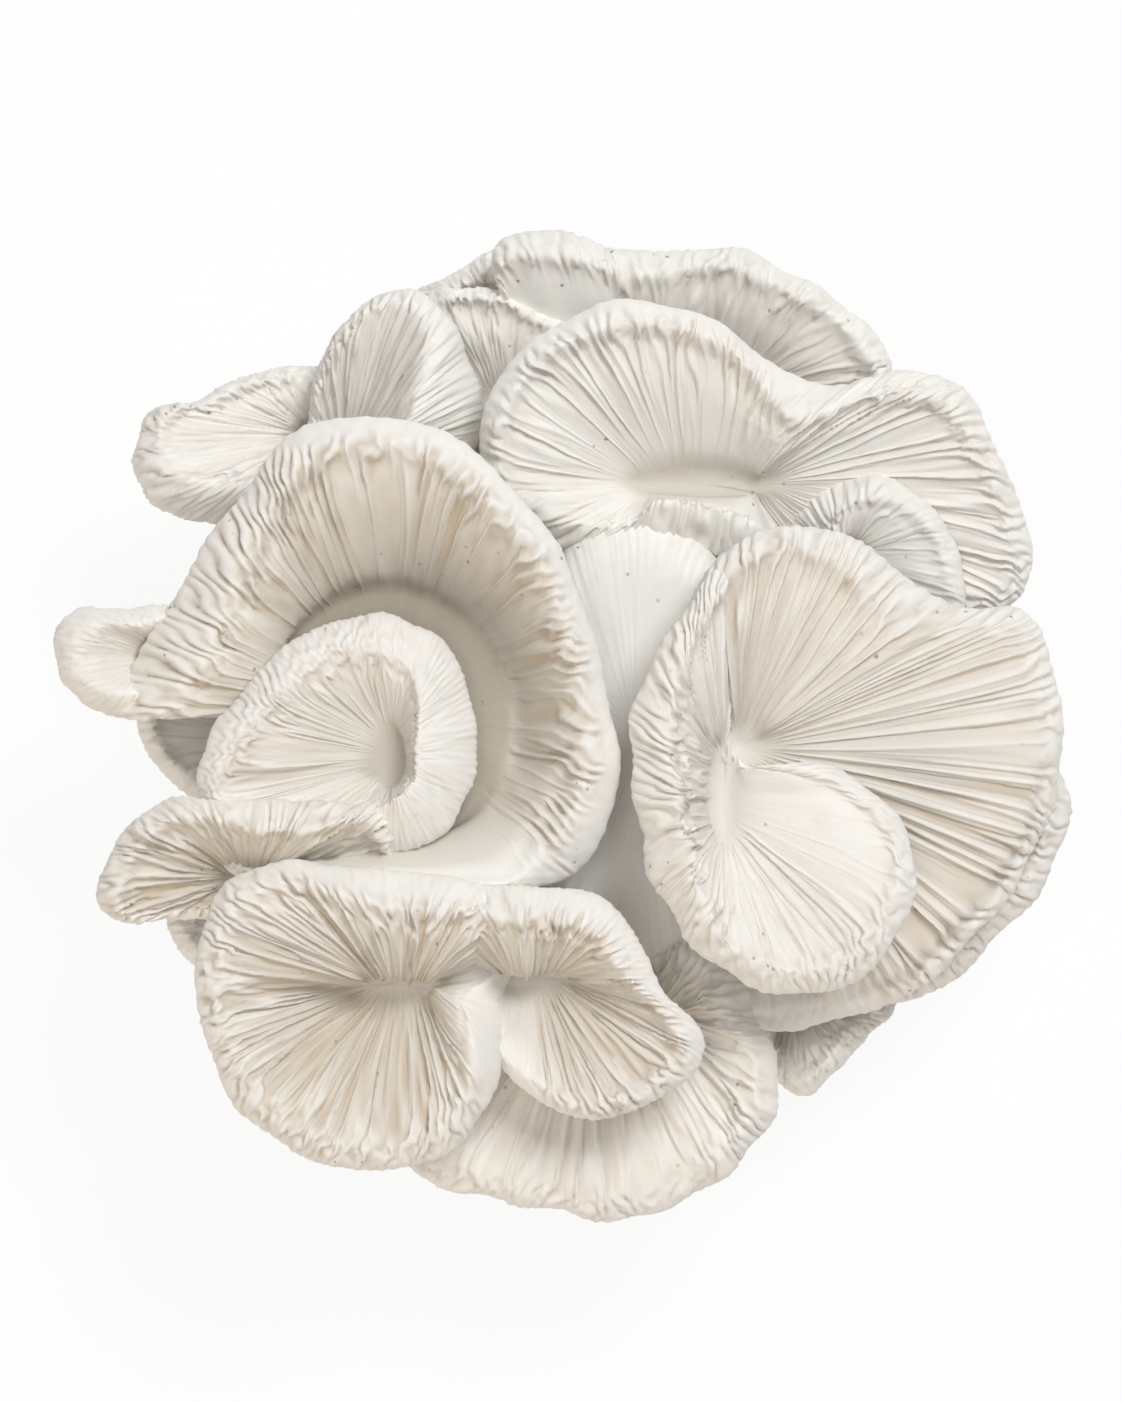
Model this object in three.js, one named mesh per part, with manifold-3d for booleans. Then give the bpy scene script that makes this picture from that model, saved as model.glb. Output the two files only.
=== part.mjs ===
// White coral mushroom cluster: a rosette of ruffled, gilled caps growing out of one cut base clump.
// Millimetres, +Z up. Origin: the middle of the flat cut face that the cluster rests on.
//
// Every cap is one closed sheet, shaped by four things:
//   throat  an ellipse where the gilled funnel starts: centre, half width (x), half depth (y)
//   lip     the outer edge, a closed curve of points [x, y, crest height, roll width, lift]
//   foot    where its stalk stands in the clump
//   rib     one profile that every rib follows, from the throat up over the lip and down the outside
// "roll" is how wide the lip curls outward past its crest, "lift" how far a rib bulges up half way,
// and "brow" how deep the shoulder inside the crest is, from 0 for none to 1.

import * as THREE from 'three';
import { ParametricGeometry } from 'three/addons/geometries/ParametricGeometry.js';
import { mergeVertices } from 'three/addons/utils/BufferGeometryUtils.js';
import Module from 'manifold-3d';

const wasm = await Module();
wasm.setup();

// Driving dimensions
const SHEET = 4.2;            // thickness of a cap's flesh near its lip
const STALK_FLESH = 8;        // thickness of the flesh round the throat, where the cap turns to stalk
const GAP = 0.4;              // clearance kept between neighbouring caps
const SLIVER = 0.08;          // faces thinner than this along a cut are merged away
const RIB_ROWS = 17;          // rows of faces from the middle of the throat round to the foot
const LIP_STEP = 8;           // length of lip that one column of faces covers
const FOOT_HEIGHT = 12;       // height of a stalk's end inside the clump

const CLUMP_RADIUS = 43;
const CLUMP_HEIGHT = 46;
const CLUMP_SIDES = 40;
const CLUMP_LUMP = 0.07;      // how far the clump's outline swells and dips, as a share of its radius

const CORE_CENTRE = [13, -3];
const CORE_HALF = [24, 43];   // half width and half depth of the joined flesh between the caps
const CORE_HEIGHT = 63.5;
const CORE_TILT = 0.24;       // how much its top climbs towards the back
const CORE_SIDES = 32;

// One rib, as shares of its reach and rise: a wall, then a flare towards the crest
const WALL = { reach: 0.16, rise: 0.3 };
const FLARE = { reach: 0.58, rise: 0.72 };
const FLARE_LIFT = 0.55;      // share of the lift that reaches the flare
const WALL_OVERHANG = 0.5;    // how far a lifted wall leans back over its throat
const BROW_REACH = 1;         // the shoulder's distance inside the crest, plus a share of the roll
const BROW_REACH_PER_ROLL = 0.45;
const BROW_DROP = 0.8;        // how far the shoulder lies below the crest, plus a share of the roll
const BROW_DROP_PER_ROLL = 0.35;
const DROP_BASE = 1.2;        // how far the edge hangs below the crest, plus a share of the roll
const DROP_PER_ROLL = 0.8;
const CURL = { reach: 0.45, drop: 0.36 };

const FLESH = { color: 0xf1ece3, roughness: 0.72, metalness: 0 };
const CUT_FLESH = { color: 0xe6ddcf, roughness: 0.8, metalness: 0 };

const CAPS = [
  {
    name: 'left_front_cap',
    throat: { at: [-31, 1, 73], half: [20.5, 22], dip: 4 },
    foot: { at: [-14, 2], radius: 10 },
    lip: [
      [2.5, -25.5, 82.5, 7, -1], [8, -18.5, 84.5, 7, -2], [9.2, -9, 86, 5.5, -4],
      [8.5, 1, 88, 4.5, -4], [7, 11, 90, 4.5, -4], [4, 21, 92, 4.5, -4], [-0.5, 31, 94, 4.5, -4],
      [-7, 39.5, 95, 4.5, -3], [-13.5, 46, 95.5, 5, -3], [-21, 51.5, 95.5, 5, -2],
      [-29, 54, 95, 5, -2], [-37, 54.5, 94, 5.5, -1], [-45, 52.5, 92.5, 6, 0],
      [-52, 47, 90.5, 6.5, 0], [-57, 40.5, 88, 7, 0], [-62, 33.5, 86, 8, 0],
      [-66.5, 26.5, 84, 9, 1], [-70.5, 20, 82.5, 10, 2], [-74.5, 13.5, 81, 10.5, 3],
      [-78, 7.5, 79, 10, 3], [-79, 2, 76, 7, 2], [-70, 3, 74, 3, 1], [-62, 6, 72, 2, 0],
      [-56, 5, 69, 2, 0], [-56, -4, 67, 2, 0], [-57, -14, 68, 2, 0], [-60, -25, 74, 2, 0],
      [-48, -28, 82, 2, 0], [-34, -29, 86, 2, 2], [-20, -29.5, 86, 2, 2], [-7, -29.5, 84, 3, 1],
    ],
  },
  {
    name: 'left_scroll_cap',
    throat: { at: [-30.5, -5.5, 79], half: [2.5, 5], dip: 0.8 },
    foot: { at: [-32, -3], radius: 8, height: 66 },
    brow: 0.5,
    lip: [
      [-15.2, -4, 90, 11, 0], [-16.2, 5, 90, 11, 0], [-18.8, 11.5, 89.5, 10, 0],
      [-23, 16.5, 89, 8.5, -1], [-29, 19.3, 88.5, 7, -1], [-36, 19.3, 88, 5.5, -1.5],
      [-43, 17.5, 87.5, 5, -1.5], [-49, 14, 87, 5, -2], [-54, 9, 87, 5, -2],
      [-58.5, 4, 86.5, 5, -2], [-62.3, -2, 86, 5, -2], [-64.5, -8.5, 84, 4, -1.5],
      [-63, -13.5, 81, 2.5, -1], [-56, -15.5, 80, 2.5, -1], [-48, -17.5, 81, 4, -1],
      [-41, -20, 84, 6, -1], [-34, -22, 87.5, 8, -1], [-27, -22, 90, 10, 0],
      [-20.5, -18.2, 90.5, 11, 0], [-16.5, -12, 90.5, 11, 0],
    ],
  },
  {
    name: 'left_lower_cap',
    throat: { at: [-55, -27, 68], half: [4, 2], dip: 1.5 },
    foot: { at: [-24, -12], radius: 8 },
    lip: [
      [-29.5, -13.5, 89.5, 6, 3], [-38, -13.5, 89, 6.5, 4], [-46, -13.2, 88, 6, 4],
      [-54, -12.9, 86.5, 5, 3], [-62, -12.7, 84.5, 4, 2], [-69, -12.9, 83, 4, 1],
      [-75, -16, 81, 4, 0], [-79.3, -21, 79, 4, 0], [-81.8, -27, 77, 4, 0], [-82, -32, 75, 3.5, 0],
      [-79, -34.6, 72, 2.5, 0], [-72, -34.5, 69, 2, 0], [-64, -34, 67, 2, 0], [-55, -33, 66, 2, 0],
      [-46, -31, 67, 2, 0], [-37, -27, 73, 3, 0], [-29, -21.5, 83, 3, 1],
    ],
  },
  {
    name: 'left_ear_cap',
    throat: { at: [-71, 12, 66], half: [2.5, 3], dip: 1.5 },
    foot: { at: [-30, 8], radius: 7 },
    brow: 0.3,
    lip: [
      [-65, 21, 73, 2, 0], [-71, 21.5, 75, 2.5, 0], [-78, 20.6, 76, 3.5, 0],
      [-84.5, 21, 77, 4.5, 0], [-88.8, 18.5, 77.5, 4, 0], [-90, 14, 77, 3.5, 0],
      [-89, 9, 76.5, 3.5, 0], [-86, 5, 76, 4, 0], [-82, 2.3, 75.5, 5, 0], [-77.5, 1.5, 74, 5, 0],
      [-71, 3, 71, 3, 0], [-65, 7, 68, 2, 0], [-62, 14, 69, 2, 0],
    ],
  },
  {
    name: 'lower_left_cap',
    throat: { at: [-28, -45.8, 72], half: [6, 1.4], dip: 0.3 },
    foot: { at: [-12, -20], radius: 9 },
    lip: [
      [-9, -28, 89, 6, 5], [-17, -27, 91, 6, 5], [-25, -25.8, 91, 6.5, 5], [-33, -25, 91, 6.5, 5],
      [-41, -24.2, 90, 6, 5], [-49, -23.3, 88, 5.5, 5], [-55.5, -25.3, 86, 5, 5],
      [-60, -28.7, 84, 4.5, 5], [-62.8, -33.5, 82, 4, 5], [-64.5, -40, 80, 4, 4.5],
      [-64.8, -48, 79, 4, -2], [-63.2, -56, 78, 4, -2.5], [-60, -63.5, 77, 4, -2],
      [-55, -70, 76, 4, -1], [-48, -75, 75.5, 4, 0], [-40, -78.2, 75.5, 4, 0],
      [-31, -78.7, 76, 4, 0], [-24, -76.8, 77, 4, 0], [-18, -73.5, 78, 5, 0],
      [-13.8, -68, 80, 6.5, 0], [-11.2, -61.5, 82, 7.5, 2], [-10.5, -54.5, 82, 8, 3],
      [-10.5, -48, 78, 6, 2], [-8, -42, 76, 3, 0], [-5.5, -36, 79, 3, 2], [-5.5, -30.5, 84, 4, 5],
    ],
  },
  {
    name: 'lower_middle_cap',
    throat: { at: [-6, -44.5, 71], half: [6, 1.4], dip: 0.3 },
    foot: { at: [2, -22], radius: 8 },
    lip: [
      [-24, -28.5, 85, 4, 4], [-18, -27.5, 89.5, 5.5, 5], [-12, -28, 90.5, 6, 5],
      [-5, -28, 90.5, 6, 5], [1, -28.3, 90, 6, 4], [6.5, -30, 89, 6, 3], [10.7, -33.7, 88, 5.5, 2],
      [14.2, -40, 86, 5, 1], [18, -46.3, 84, 5, 0], [21.8, -50.7, 82, 5, 0],
      [24.6, -56, 80, 4.5, 0], [23.5, -61, 78.5, 4, 0], [18, -65, 77, 3.5, 0],
      [12, -68.3, 76, 3, 0], [5.5, -69.6, 75, 3, 0], [-1, -68, 74.5, 3, 0], [-6, -65, 74, 3, 0],
      [-10.5, -61, 75.5, 2.5, 0], [-14.5, -56, 76.5, 2, 0], [-16, -50, 76, 2, 0],
      [-16.5, -45, 74, 2, 0], [-20, -40, 76, 2, 2], [-24, -34, 80, 3, 4],
    ],
  },
  {
    name: 'right_scroll_cap',
    throat: { at: [28.5, -12, 74], half: [2.5, 8], dip: 1.5 },
    foot: { at: [14, -8], radius: 9 },
    lip: [
      [33.5, -7.5, 74.5, 2.5, 0], [39, -6.5, 78, 3.5, 0], [45, -6.8, 79.5, 4, 0],
      [51, -9, 81, 4, 0], [56, -12.8, 81, 4, 0], [60, -17.5, 82, 3.5, 0], [62, -23, 83, 3.5, 0],
      [62, -29, 83, 3.5, 0], [59.8, -34.5, 83, 4, 0], [56, -41, 83, 4, 0],
      [50.5, -45.2, 84, 4.5, 0], [44, -47.3, 85, 5, 0], [37, -47, 86, 5.5, 0],
      [30, -44.5, 88, 6, 0], [23.5, -39, 90, 7, 0], [18, -31.5, 91, 7.5, 0], [14.6, -24, 92, 8, 0],
      [12.8, -16, 92, 8, 0], [12, -8, 92, 8, 0], [11.7, 0, 92, 7.5, 0], [14, 7.5, 92, 7, 0],
      [18, 15.5, 91.5, 6, 0], [23, 23, 90.5, 5, 0], [28, 28.5, 88.5, 4.5, 0],
      [31.5, 27, 81, 2.5, 0], [33, 18, 74, 2, 0], [33.5, 8, 71, 2, 0], [34, 0, 71, 2, 0],
    ],
  },
  {
    name: 'right_front_cap',
    throat: { at: [31, -4, 74], half: [3.5, 3], dip: 1.5 },
    foot: { at: [17, 2], radius: 10 },
    brow: 0.6,
    lip: [
      [24.5, 26.5, 84, 4, 0], [29, 30.8, 87, 4, 0], [36, 34.2, 88, 4, 0], [43, 35.2, 87, 4.5, 0],
      [49, 34, 86, 5, 0], [55, 30.7, 84, 6, 1], [61, 26.5, 82, 7, 2], [66, 22.6, 80, 8, 3],
      [70.5, 20.7, 79, 8.5, 3], [75, 21, 78, 8.5, 3], [79.5, 21.3, 77, 7.5, 3],
      [83.5, 18, 76, 5, 3], [86.2, 12, 75, 3.5, 3], [88, 4, 73, 3, 3], [88.4, -4, 71, 2.5, 3],
      [87.3, -12, 69, 2.5, 3], [84.8, -20, 66, 2.5, 3], [81, -28, 63, 2.5, 3],
      [76, -34.5, 60, 2.5, 3], [70, -41, 57, 3, 3], [64, -46.5, 54, 3, 2], [57, -51, 50, 4, 2],
      [49, -53, 47, 3, 1], [40, -55.5, 44, 3, 0], [31, -53, 43, 2, 0], [25, -45, 44, 2, 0],
      [21, -33, 46, 2, 0], [20, -20, 49, 2, 0], [20, -6, 53, 2, 0], [20, 8, 61, 2, 0],
      [21.5, 19, 73, 3, 0],
    ],
  },
  {
    name: 'upper_right_cap',
    throat: { at: [25, 43, 60.5], half: [12, 2.2], dip: 0.8 },
    foot: { at: [6, 15], radius: 12 },
    lip: [
      [-13.5, 42, 70, 4, 0], [-15.3, 49, 72, 4, 0], [-14, 56, 74, 4, 0], [-10.8, 63, 75, 4, 0],
      [-6, 68.3, 76, 4, 0], [1, 72.2, 77, 4, 0], [8.5, 74.4, 78, 4, 0], [16, 74.5, 78, 4, 0],
      [23, 73.4, 78, 4, 0], [29, 70.7, 77, 4, 0], [35, 66, 76, 4.5, 0], [40.5, 62.2, 75, 6, 0],
      [47, 60.4, 74, 8, 1], [54, 61.4, 73, 9.5, 1], [60.5, 63.3, 72, 9, 1], [67, 62, 71, 6.5, 0],
      [72, 58.5, 69, 4.5, 0], [76, 52.3, 67, 4, 0], [79, 45.5, 65, 3.5, 0], [81.7, 38, 62, 3.5, 0],
      [83.6, 29.5, 59, 3.5, 0], [82, 22.5, 56, 3, 0], [75, 19, 53, 3, 0], [64, 18, 50, 3, 0],
      [52, 20, 49, 3, 0], [44, 26, 54, 4, 0], [38, 28, 63, 6, 0], [31, 29.5, 68, 8, 0],
      [24, 31, 70.5, 8, 0], [18, 31.7, 71.5, 8, 0], [12, 31, 71, 8, 0], [7, 29, 70, 8, 0],
      [2, 29.3, 69.5, 8, 0], [-4, 32.5, 69.5, 7, 0], [-9.5, 37, 70, 6, 0],
    ],
  },
  {
    name: 'right_ear_cap',
    throat: { at: [50, 30, 61], half: [3, 3], dip: 1 },
    foot: { at: [28, 8], radius: 8 },
    brow: 0.5,
    lip: [
      [37, 35, 58, 8, 2], [39.5, 39.5, 60, 8, 2], [44, 43.3, 63, 7.5, 2], [50, 45, 66, 6, 1],
      [56, 44.5, 68, 4.5, 0], [61.5, 42.3, 68, 3.5, 0], [66, 38.3, 67, 3, 0],
      [69.4, 33.3, 65, 3, 0], [71.3, 27, 63, 3, 0], [71.5, 20, 60, 3, 0], [67, 14, 55, 3, 0],
      [57, 11, 52, 3, 0], [46, 12, 50, 3, 0], [38, 19, 51, 4, 0], [36, 28, 55, 6, 1],
    ],
  },
  {
    name: 'top_back_cap',
    throat: { at: [16, 60, 34], half: [18, 3], dip: 2 },
    foot: { at: [10, 27], radius: 9 },
    lip: [
      [59.5, 60, 45, 3, 0], [59, 64.5, 48, 3, 0], [56, 69.8, 50, 3.5, 0], [51, 75, 52, 3.5, 0],
      [45, 79, 53, 3.5, 0], [38, 82.5, 54, 3.5, 0], [30.5, 85.4, 55, 3.5, 0],
      [23, 85.2, 55, 3.5, 0], [16, 84.6, 56, 4, 0], [10, 85.5, 57, 5, 0], [4, 87.4, 58, 5, 0],
      [-2.5, 88.5, 59, 5, 0], [-8, 87.8, 59, 4.5, 0], [-12, 85.2, 58, 3, 0],
      [-12.8, 81.5, 56, 2, 0], [-10, 76, 50, 2, 0], [-4, 68, 44, 2, 0], [2, 58, 38, 2, 0],
      [14, 53, 35, 2, 0], [30, 52, 35, 2, 0], [44, 53, 37, 2, 0], [54, 56, 40, 3, 0],
    ],
  },
  {
    name: 'top_left_back_cap',
    throat: { at: [-10, 72, 30], half: [3, 2.5], dip: 2 },
    foot: { at: [-12, 30], radius: 6, height: 9 },
    lip: [
      [-28, 76.5, 42, 3, 0], [-23, 80, 43, 3, 0], [-18, 82.3, 44, 3, 0], [-13, 85.7, 44, 3, 0],
      [-8, 86.5, 42, 3, 0], [-3, 82, 38, 3, 0], [0, 75, 35, 3, 0], [-3, 67, 33, 3, 0],
      [-11, 63, 32, 3, 0], [-19, 65, 35, 3, 0], [-26, 70, 39, 3, 0],
    ],
  },
  {
    name: 'back_notch_cap',
    throat: { at: [-10, 58, 42], half: [6, 2.5], dip: 2 },
    foot: { at: [-6, 26], radius: 7, height: 24 },
    lip: [
      [-27, 74, 52, 2, 0], [-24, 77.4, 53, 2, 0], [-17, 78.4, 53, 2, 0], [-10.5, 77.6, 53, 2, 0],
      [-4, 74.6, 52, 2, 0], [2, 70.5, 51, 2, 0], [5, 64, 49, 3, 0], [3, 56, 46, 3, 0],
      [-4, 51, 44, 3, 0], [-13, 50, 44, 3, 0], [-21, 55, 46, 3, 0], [-26, 64, 49, 3, 0],
    ],
  },
  {
    name: 'upper_left_fold_cap',
    throat: { at: [-40, 46, 46], half: [4.5, 3], dip: 2 },
    foot: { at: [-14, 26], radius: 9, height: 28 },
    brow: 0.3,
    lip: [
      [-45.5, 50, 52, 2, 0], [-45.2, 58, 55, 2.5, 0], [-43.5, 65, 58, 2.5, 0],
      [-40, 70.6, 61, 2.5, 0], [-35.5, 74.9, 64, 2.5, 0], [-30, 77.5, 66, 2.5, 0],
      [-25.5, 77, 68, 3, 0], [-22.3, 74.8, 70, 4, 1], [-19.5, 71.5, 71, 7, 2], [-17, 66, 72, 12, 4],
      [-14.8, 60, 71, 15, 5], [-14.5, 53, 69, 16, 5], [-17.5, 46, 66, 14, 4], [-24, 40.5, 60, 8, 2],
      [-32, 38, 53, 3, 0], [-40, 39, 50, 2, 0], [-45, 43.5, 50, 2, 0],
    ],
  },
  {
    name: 'left_upper_cap',
    throat: { at: [-44, 52, 44], half: [3, 2.5], dip: 1.5 },
    foot: { at: [-24, 24], radius: 8, height: 16 },
    lip: [
      [-38, 62, 48, 2, 0], [-44, 64.3, 49, 2, 0], [-50, 64.3, 50, 2, 0], [-57, 62.6, 52, 2, 0],
      [-62, 60.2, 53, 2, 0], [-66.5, 57.8, 54, 2.5, 0], [-71.5, 57.2, 55, 3, 0],
      [-75, 54.7, 56, 3.5, 0], [-76.6, 49.5, 57, 5, 0], [-76.2, 43.5, 58, 7, 1],
      [-73, 39.3, 59, 9, 2], [-67.5, 37, 60, 10.5, 3], [-60.5, 35.8, 60, 11, 3],
      [-53, 35.5, 59, 11, 3], [-45, 37, 56, 9, 2], [-38, 41, 51, 5, 0], [-35, 48, 47, 3, 0],
      [-35, 56, 47, 2, 0],
    ],
  },
  {
    name: 'bottom_fan_cap',
    throat: { at: [6, -52, 52], half: [13, 2], dip: 2 },
    foot: { at: [5, -25], radius: 9 },
    brow: 0.3,
    lip: [
      [-28.5, -77.5, 52, 3, 4], [-25, -81.3, 53, 3, 4], [-19.5, -83.5, 54, 3, 5],
      [-12.5, -84.8, 55, 3, 5], [-5, -86, 55, 3, 5], [2, -87.5, 55, 3, 5], [9, -88.6, 55, 3, 5],
      [16, -87.4, 55.5, 3, 5], [23, -84.3, 56, 3.5, 5], [29.5, -79.5, 58, 4, 3],
      [35, -74, 60, 4.5, 1], [38.6, -66.5, 62, 5, 0], [37.8, -59, 63, 5, 0],
      [34.5, -52, 62, 4.5, 0], [31, -45, 60, 4, 0], [24, -38, 55, 3, 0], [10, -40, 48, 3, 0],
      [-8, -46, 44, 3, 0], [-22, -57, 42, 3, 0], [-28, -69, 42, 3, 2],
    ],
  },
  {
    name: 'right_back_cap',
    throat: { at: [46, -16, 40], half: [4, 4], dip: 2 },
    foot: { at: [24, -4], radius: 8 },
    lip: [
      [84, 6, 54, 3, 0], [88, -4, 55, 3, 0], [90.3, -13, 55, 3.5, 0], [89.8, -20, 54, 4, 0],
      [87, -27, 52, 4, 0], [83, -32.5, 50, 4, 0], [78.5, -38, 48, 4, 0], [73.5, -43, 46, 4, 0],
      [67.5, -47.3, 44, 4, 0], [60, -50, 42, 4, 0], [46, -48, 39, 3, 0], [34, -38, 38, 3, 0],
      [28, -24, 38, 3, 0], [30, -8, 40, 3, 0], [42, 4, 43, 3, 0], [58, 8, 48, 3, 0],
      [74, 9, 52, 3, 0],
    ],
  },
  {
    name: 'lower_right_small_cap',
    throat: { at: [42, -47, 22], half: [3, 3], dip: 2 },
    foot: { at: [22, -20], radius: 7 },
    lip: [
      [37, -60, 32, 3, 0], [39.5, -65.3, 34, 3, 0], [44, -67, 35, 3, 0], [49.5, -62.5, 35, 3, 0],
      [55, -56.5, 34, 3, 0], [60, -51.5, 33, 3, 0], [60, -42, 30, 3, 0], [50, -36, 28, 3, 0],
      [38, -36, 27, 3, 0], [31, -42, 27, 3, 0], [32, -52, 29, 3, 0],
    ],
  },
  {
    name: 'left_low_back_cap',
    throat: { at: [-48, -35, 40], half: [3, 3], dip: 2 },
    foot: { at: [-20, -18], radius: 7 },
    lip: [
      [-60, -26, 52, 3, 0], [-68, -29, 54, 3, 0], [-71, -35, 54, 3, 0], [-68, -41, 53, 3, 0],
      [-63, -46, 51, 3, 0], [-54, -50, 48, 3, 0], [-43, -48, 45, 3, 0], [-36, -38, 44, 3, 0],
      [-38, -27, 46, 3, 0], [-48, -24, 49, 3, 0],
    ],
  },
  {
    name: 'left_mid_back_cap',
    throat: { at: [-50, -3, 40], half: [3, 3], dip: 2 },
    foot: { at: [-23, -2], radius: 7 },
    lip: [
      [-68, 8, 54, 3, 0], [-76, 2, 56, 3, 0], [-75, -4, 56, 3, 0], [-71.5, -8.5, 55, 3, 0],
      [-67, -12.5, 54, 3, 0], [-58, -17, 51, 3, 0], [-45, -16, 47, 3, 0], [-38, -4, 45, 3, 0],
      [-42, 8, 48, 3, 0], [-54, 12, 52, 3, 0],
    ],
  },
];

function vector(x, y, z) {
  return new THREE.Vector3(x, y, z);
}

// The rib at one place along the lip: a curve from the middle of the throat, over the lip, to the foot
function ribCurve(cap, edge, roll, lift) {
  const { at, half, dip } = cap.throat;
  const heading = Math.atan2(edge.y - at[1], edge.x - at[0]);
  const start = vector(at[0] + half[0] * Math.cos(heading), at[1] + half[1] * Math.sin(heading), at[2]);
  const reach = Math.hypot(edge.x - start.x, edge.y - start.y);
  const outX = (edge.x - start.x) / reach;
  const outY = (edge.y - start.y) / reach;
  const curl = Math.min(roll, reach * 0.8);
  const crest = reach - curl;
  const rise = edge.z - at[2];
  const drop = DROP_BASE + DROP_PER_ROLL * curl;
  const wall = crest * WALL.reach - Math.max(lift, 0) * WALL_OVERHANG;
  const wallHeight = at[2] + rise * WALL.rise + lift;
  const flare = crest * FLARE.reach;
  const flareHeight = at[2] + rise * FLARE.rise + lift * FLARE_LIFT;
  const brow = Math.min(BROW_REACH + BROW_REACH_PER_ROLL * curl, (crest - flare) * 0.5);
  const browDrop = Math.min(
    (BROW_DROP + BROW_DROP_PER_ROLL * curl) * (cap.brow ?? 1),
    (edge.z - flareHeight) * 0.6,
  );
  const along = (distance, height) => vector(start.x + outX * distance, start.y + outY * distance, height);

  const sag = Math.min(0, rise - drop);
  const flesh = Math.min(STALK_FLESH, crest * 0.6);
  const foot = vector(cap.foot.at[0], cap.foot.at[1], cap.foot.height ?? FOOT_HEIGHT);
  const stalkTop = vector(at[0], at[1], at[2] - STALK_FLESH);
  const tilt = new THREE.Quaternion().setFromUnitVectors(
    vector(0, 0, -1),
    foot.clone().sub(stalkTop).normalize(),
  );
  const stalkRing = (share, radius) => vector(radius * Math.cos(heading), radius * Math.sin(heading), 0)
    .applyQuaternion(tilt)
    .add(stalkTop.clone().lerp(foot, share));

  return new THREE.CatmullRomCurve3([
    vector(at[0], at[1], at[2] - dip),
    start,
    along(wall, wallHeight),
    along(flare, flareHeight),
    along(crest - brow, edge.z - browDrop),
    along(crest, edge.z),
    along(reach - curl * CURL.reach, edge.z - drop * CURL.drop),
    along(reach, edge.z - drop),
    along(reach - SHEET * 0.35, edge.z - drop - SHEET * 0.6),
    along(reach - Math.max(curl, SHEET), edge.z - SHEET - drop * 0.35),
    along(flare + SHEET * 0.6, flareHeight - SHEET * 1.3),
    along(wall + flesh * 0.9, wallHeight - SHEET),
    along(flesh, at[2] - STALK_FLESH * 0.6 + sag),
    stalkRing(0.45, cap.foot.radius * 1.1),
    stalkRing(1, cap.foot.radius),
    foot,
  ], false, 'centripetal');
}

// A cap as one closed sheet, lofted over its ribs
function capGeometry(cap) {
  const clockwise = THREE.ShapeUtils.isClockWise(cap.lip.map(([x, y]) => new THREE.Vector2(x, y)));
  const lip = clockwise ? cap.lip : [...cap.lip].reverse();
  const edge = new THREE.CatmullRomCurve3(lip.map(([x, y, z]) => vector(x, y, z)), true);
  const curl = new THREE.CatmullRomCurve3(lip.map(([, , , roll, lift]) => vector(roll, lift, 0)), true);
  const columns = Math.round(edge.getLength() / LIP_STEP);
  const ribs = Array.from({ length: columns }, (_, column) => {
    const place = column / columns;
    const { x: roll, y: lift } = curl.getPoint(place);
    return ribCurve(cap, edge.getPoint(place), roll, lift);
  });
  return new ParametricGeometry((u, v, target) => {
    ribs[Math.round(u * columns) % columns].getPoint(v, target);
  }, columns, RIB_ROWS);
}

// The cut base clump: a lumpy dome on a flat face
function clumpGeometry() {
  const outline = new THREE.SplineCurve([
    new THREE.Vector2(CLUMP_RADIUS * 0.78, 0),
    new THREE.Vector2(CLUMP_RADIUS * 0.94, CLUMP_HEIGHT * 0.14),
    new THREE.Vector2(CLUMP_RADIUS, CLUMP_HEIGHT * 0.36),
    new THREE.Vector2(CLUMP_RADIUS * 0.86, CLUMP_HEIGHT * 0.64),
    new THREE.Vector2(CLUMP_RADIUS * 0.55, CLUMP_HEIGHT * 0.88),
    new THREE.Vector2(0, CLUMP_HEIGHT),
  ]);
  const profile = [new THREE.Vector2(0, 0), ...outline.getPoints(8)];
  const geometry = new THREE.LatheGeometry(profile, CLUMP_SIDES);
  geometry.rotateX(Math.PI / 2);
  const place = geometry.attributes.position;
  for (let i = 0; i < place.count; i += 1) {
    const angle = Math.atan2(place.getY(i), place.getX(i));
    const swell = 1 + CLUMP_LUMP * (Math.sin(3 * angle + 0.6) + 0.5 * Math.sin(7 * angle));
    place.setXYZ(i, place.getX(i) * swell, place.getY(i) * swell, place.getZ(i));
  }
  return geometry;
}

// The joined flesh that fills the middle between the caps: a long low mound
function coreGeometry() {
  const outline = new THREE.SplineCurve([
    new THREE.Vector2(0.85, 0.14),
    new THREE.Vector2(1, 0.25),
    new THREE.Vector2(1, 0.5),
    new THREE.Vector2(0.985, 0.8),
    new THREE.Vector2(0.93, 0.92),
    new THREE.Vector2(0.8, 0.97),
    new THREE.Vector2(0.45, 0.99),
    new THREE.Vector2(0, 1),
  ]);
  const geometry = new THREE.LatheGeometry([new THREE.Vector2(0, 0.14), ...outline.getPoints(11)], CORE_SIDES);
  geometry.rotateX(Math.PI / 2);
  geometry.scale(CORE_HALF[0], CORE_HALF[1], CORE_HEIGHT);
  const place = geometry.attributes.position;
  for (let i = 0; i < place.count; i += 1) {
    place.setZ(i, place.getZ(i) * (1 + CORE_TILT * place.getY(i) / CORE_HEIGHT));
  }
  geometry.translate(CORE_CENTRE[0], CORE_CENTRE[1], 0);
  return geometry;
}

// Leaves only joined-up positions and drops the faces that shrink to nothing at a pole
function welded(geometry) {
  geometry.deleteAttribute('normal');
  geometry.deleteAttribute('uv');
  const merged = mergeVertices(geometry, 1e-3);
  const index = merged.index.array;
  const faces = [];
  for (let i = 0; i < index.length; i += 3) {
    const [a, b, c] = [index[i], index[i + 1], index[i + 2]];
    if (a !== b && b !== c && c !== a) {
      faces.push(a, b, c);
    }
  }
  merged.setIndex(faces);
  return merged;
}

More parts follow.
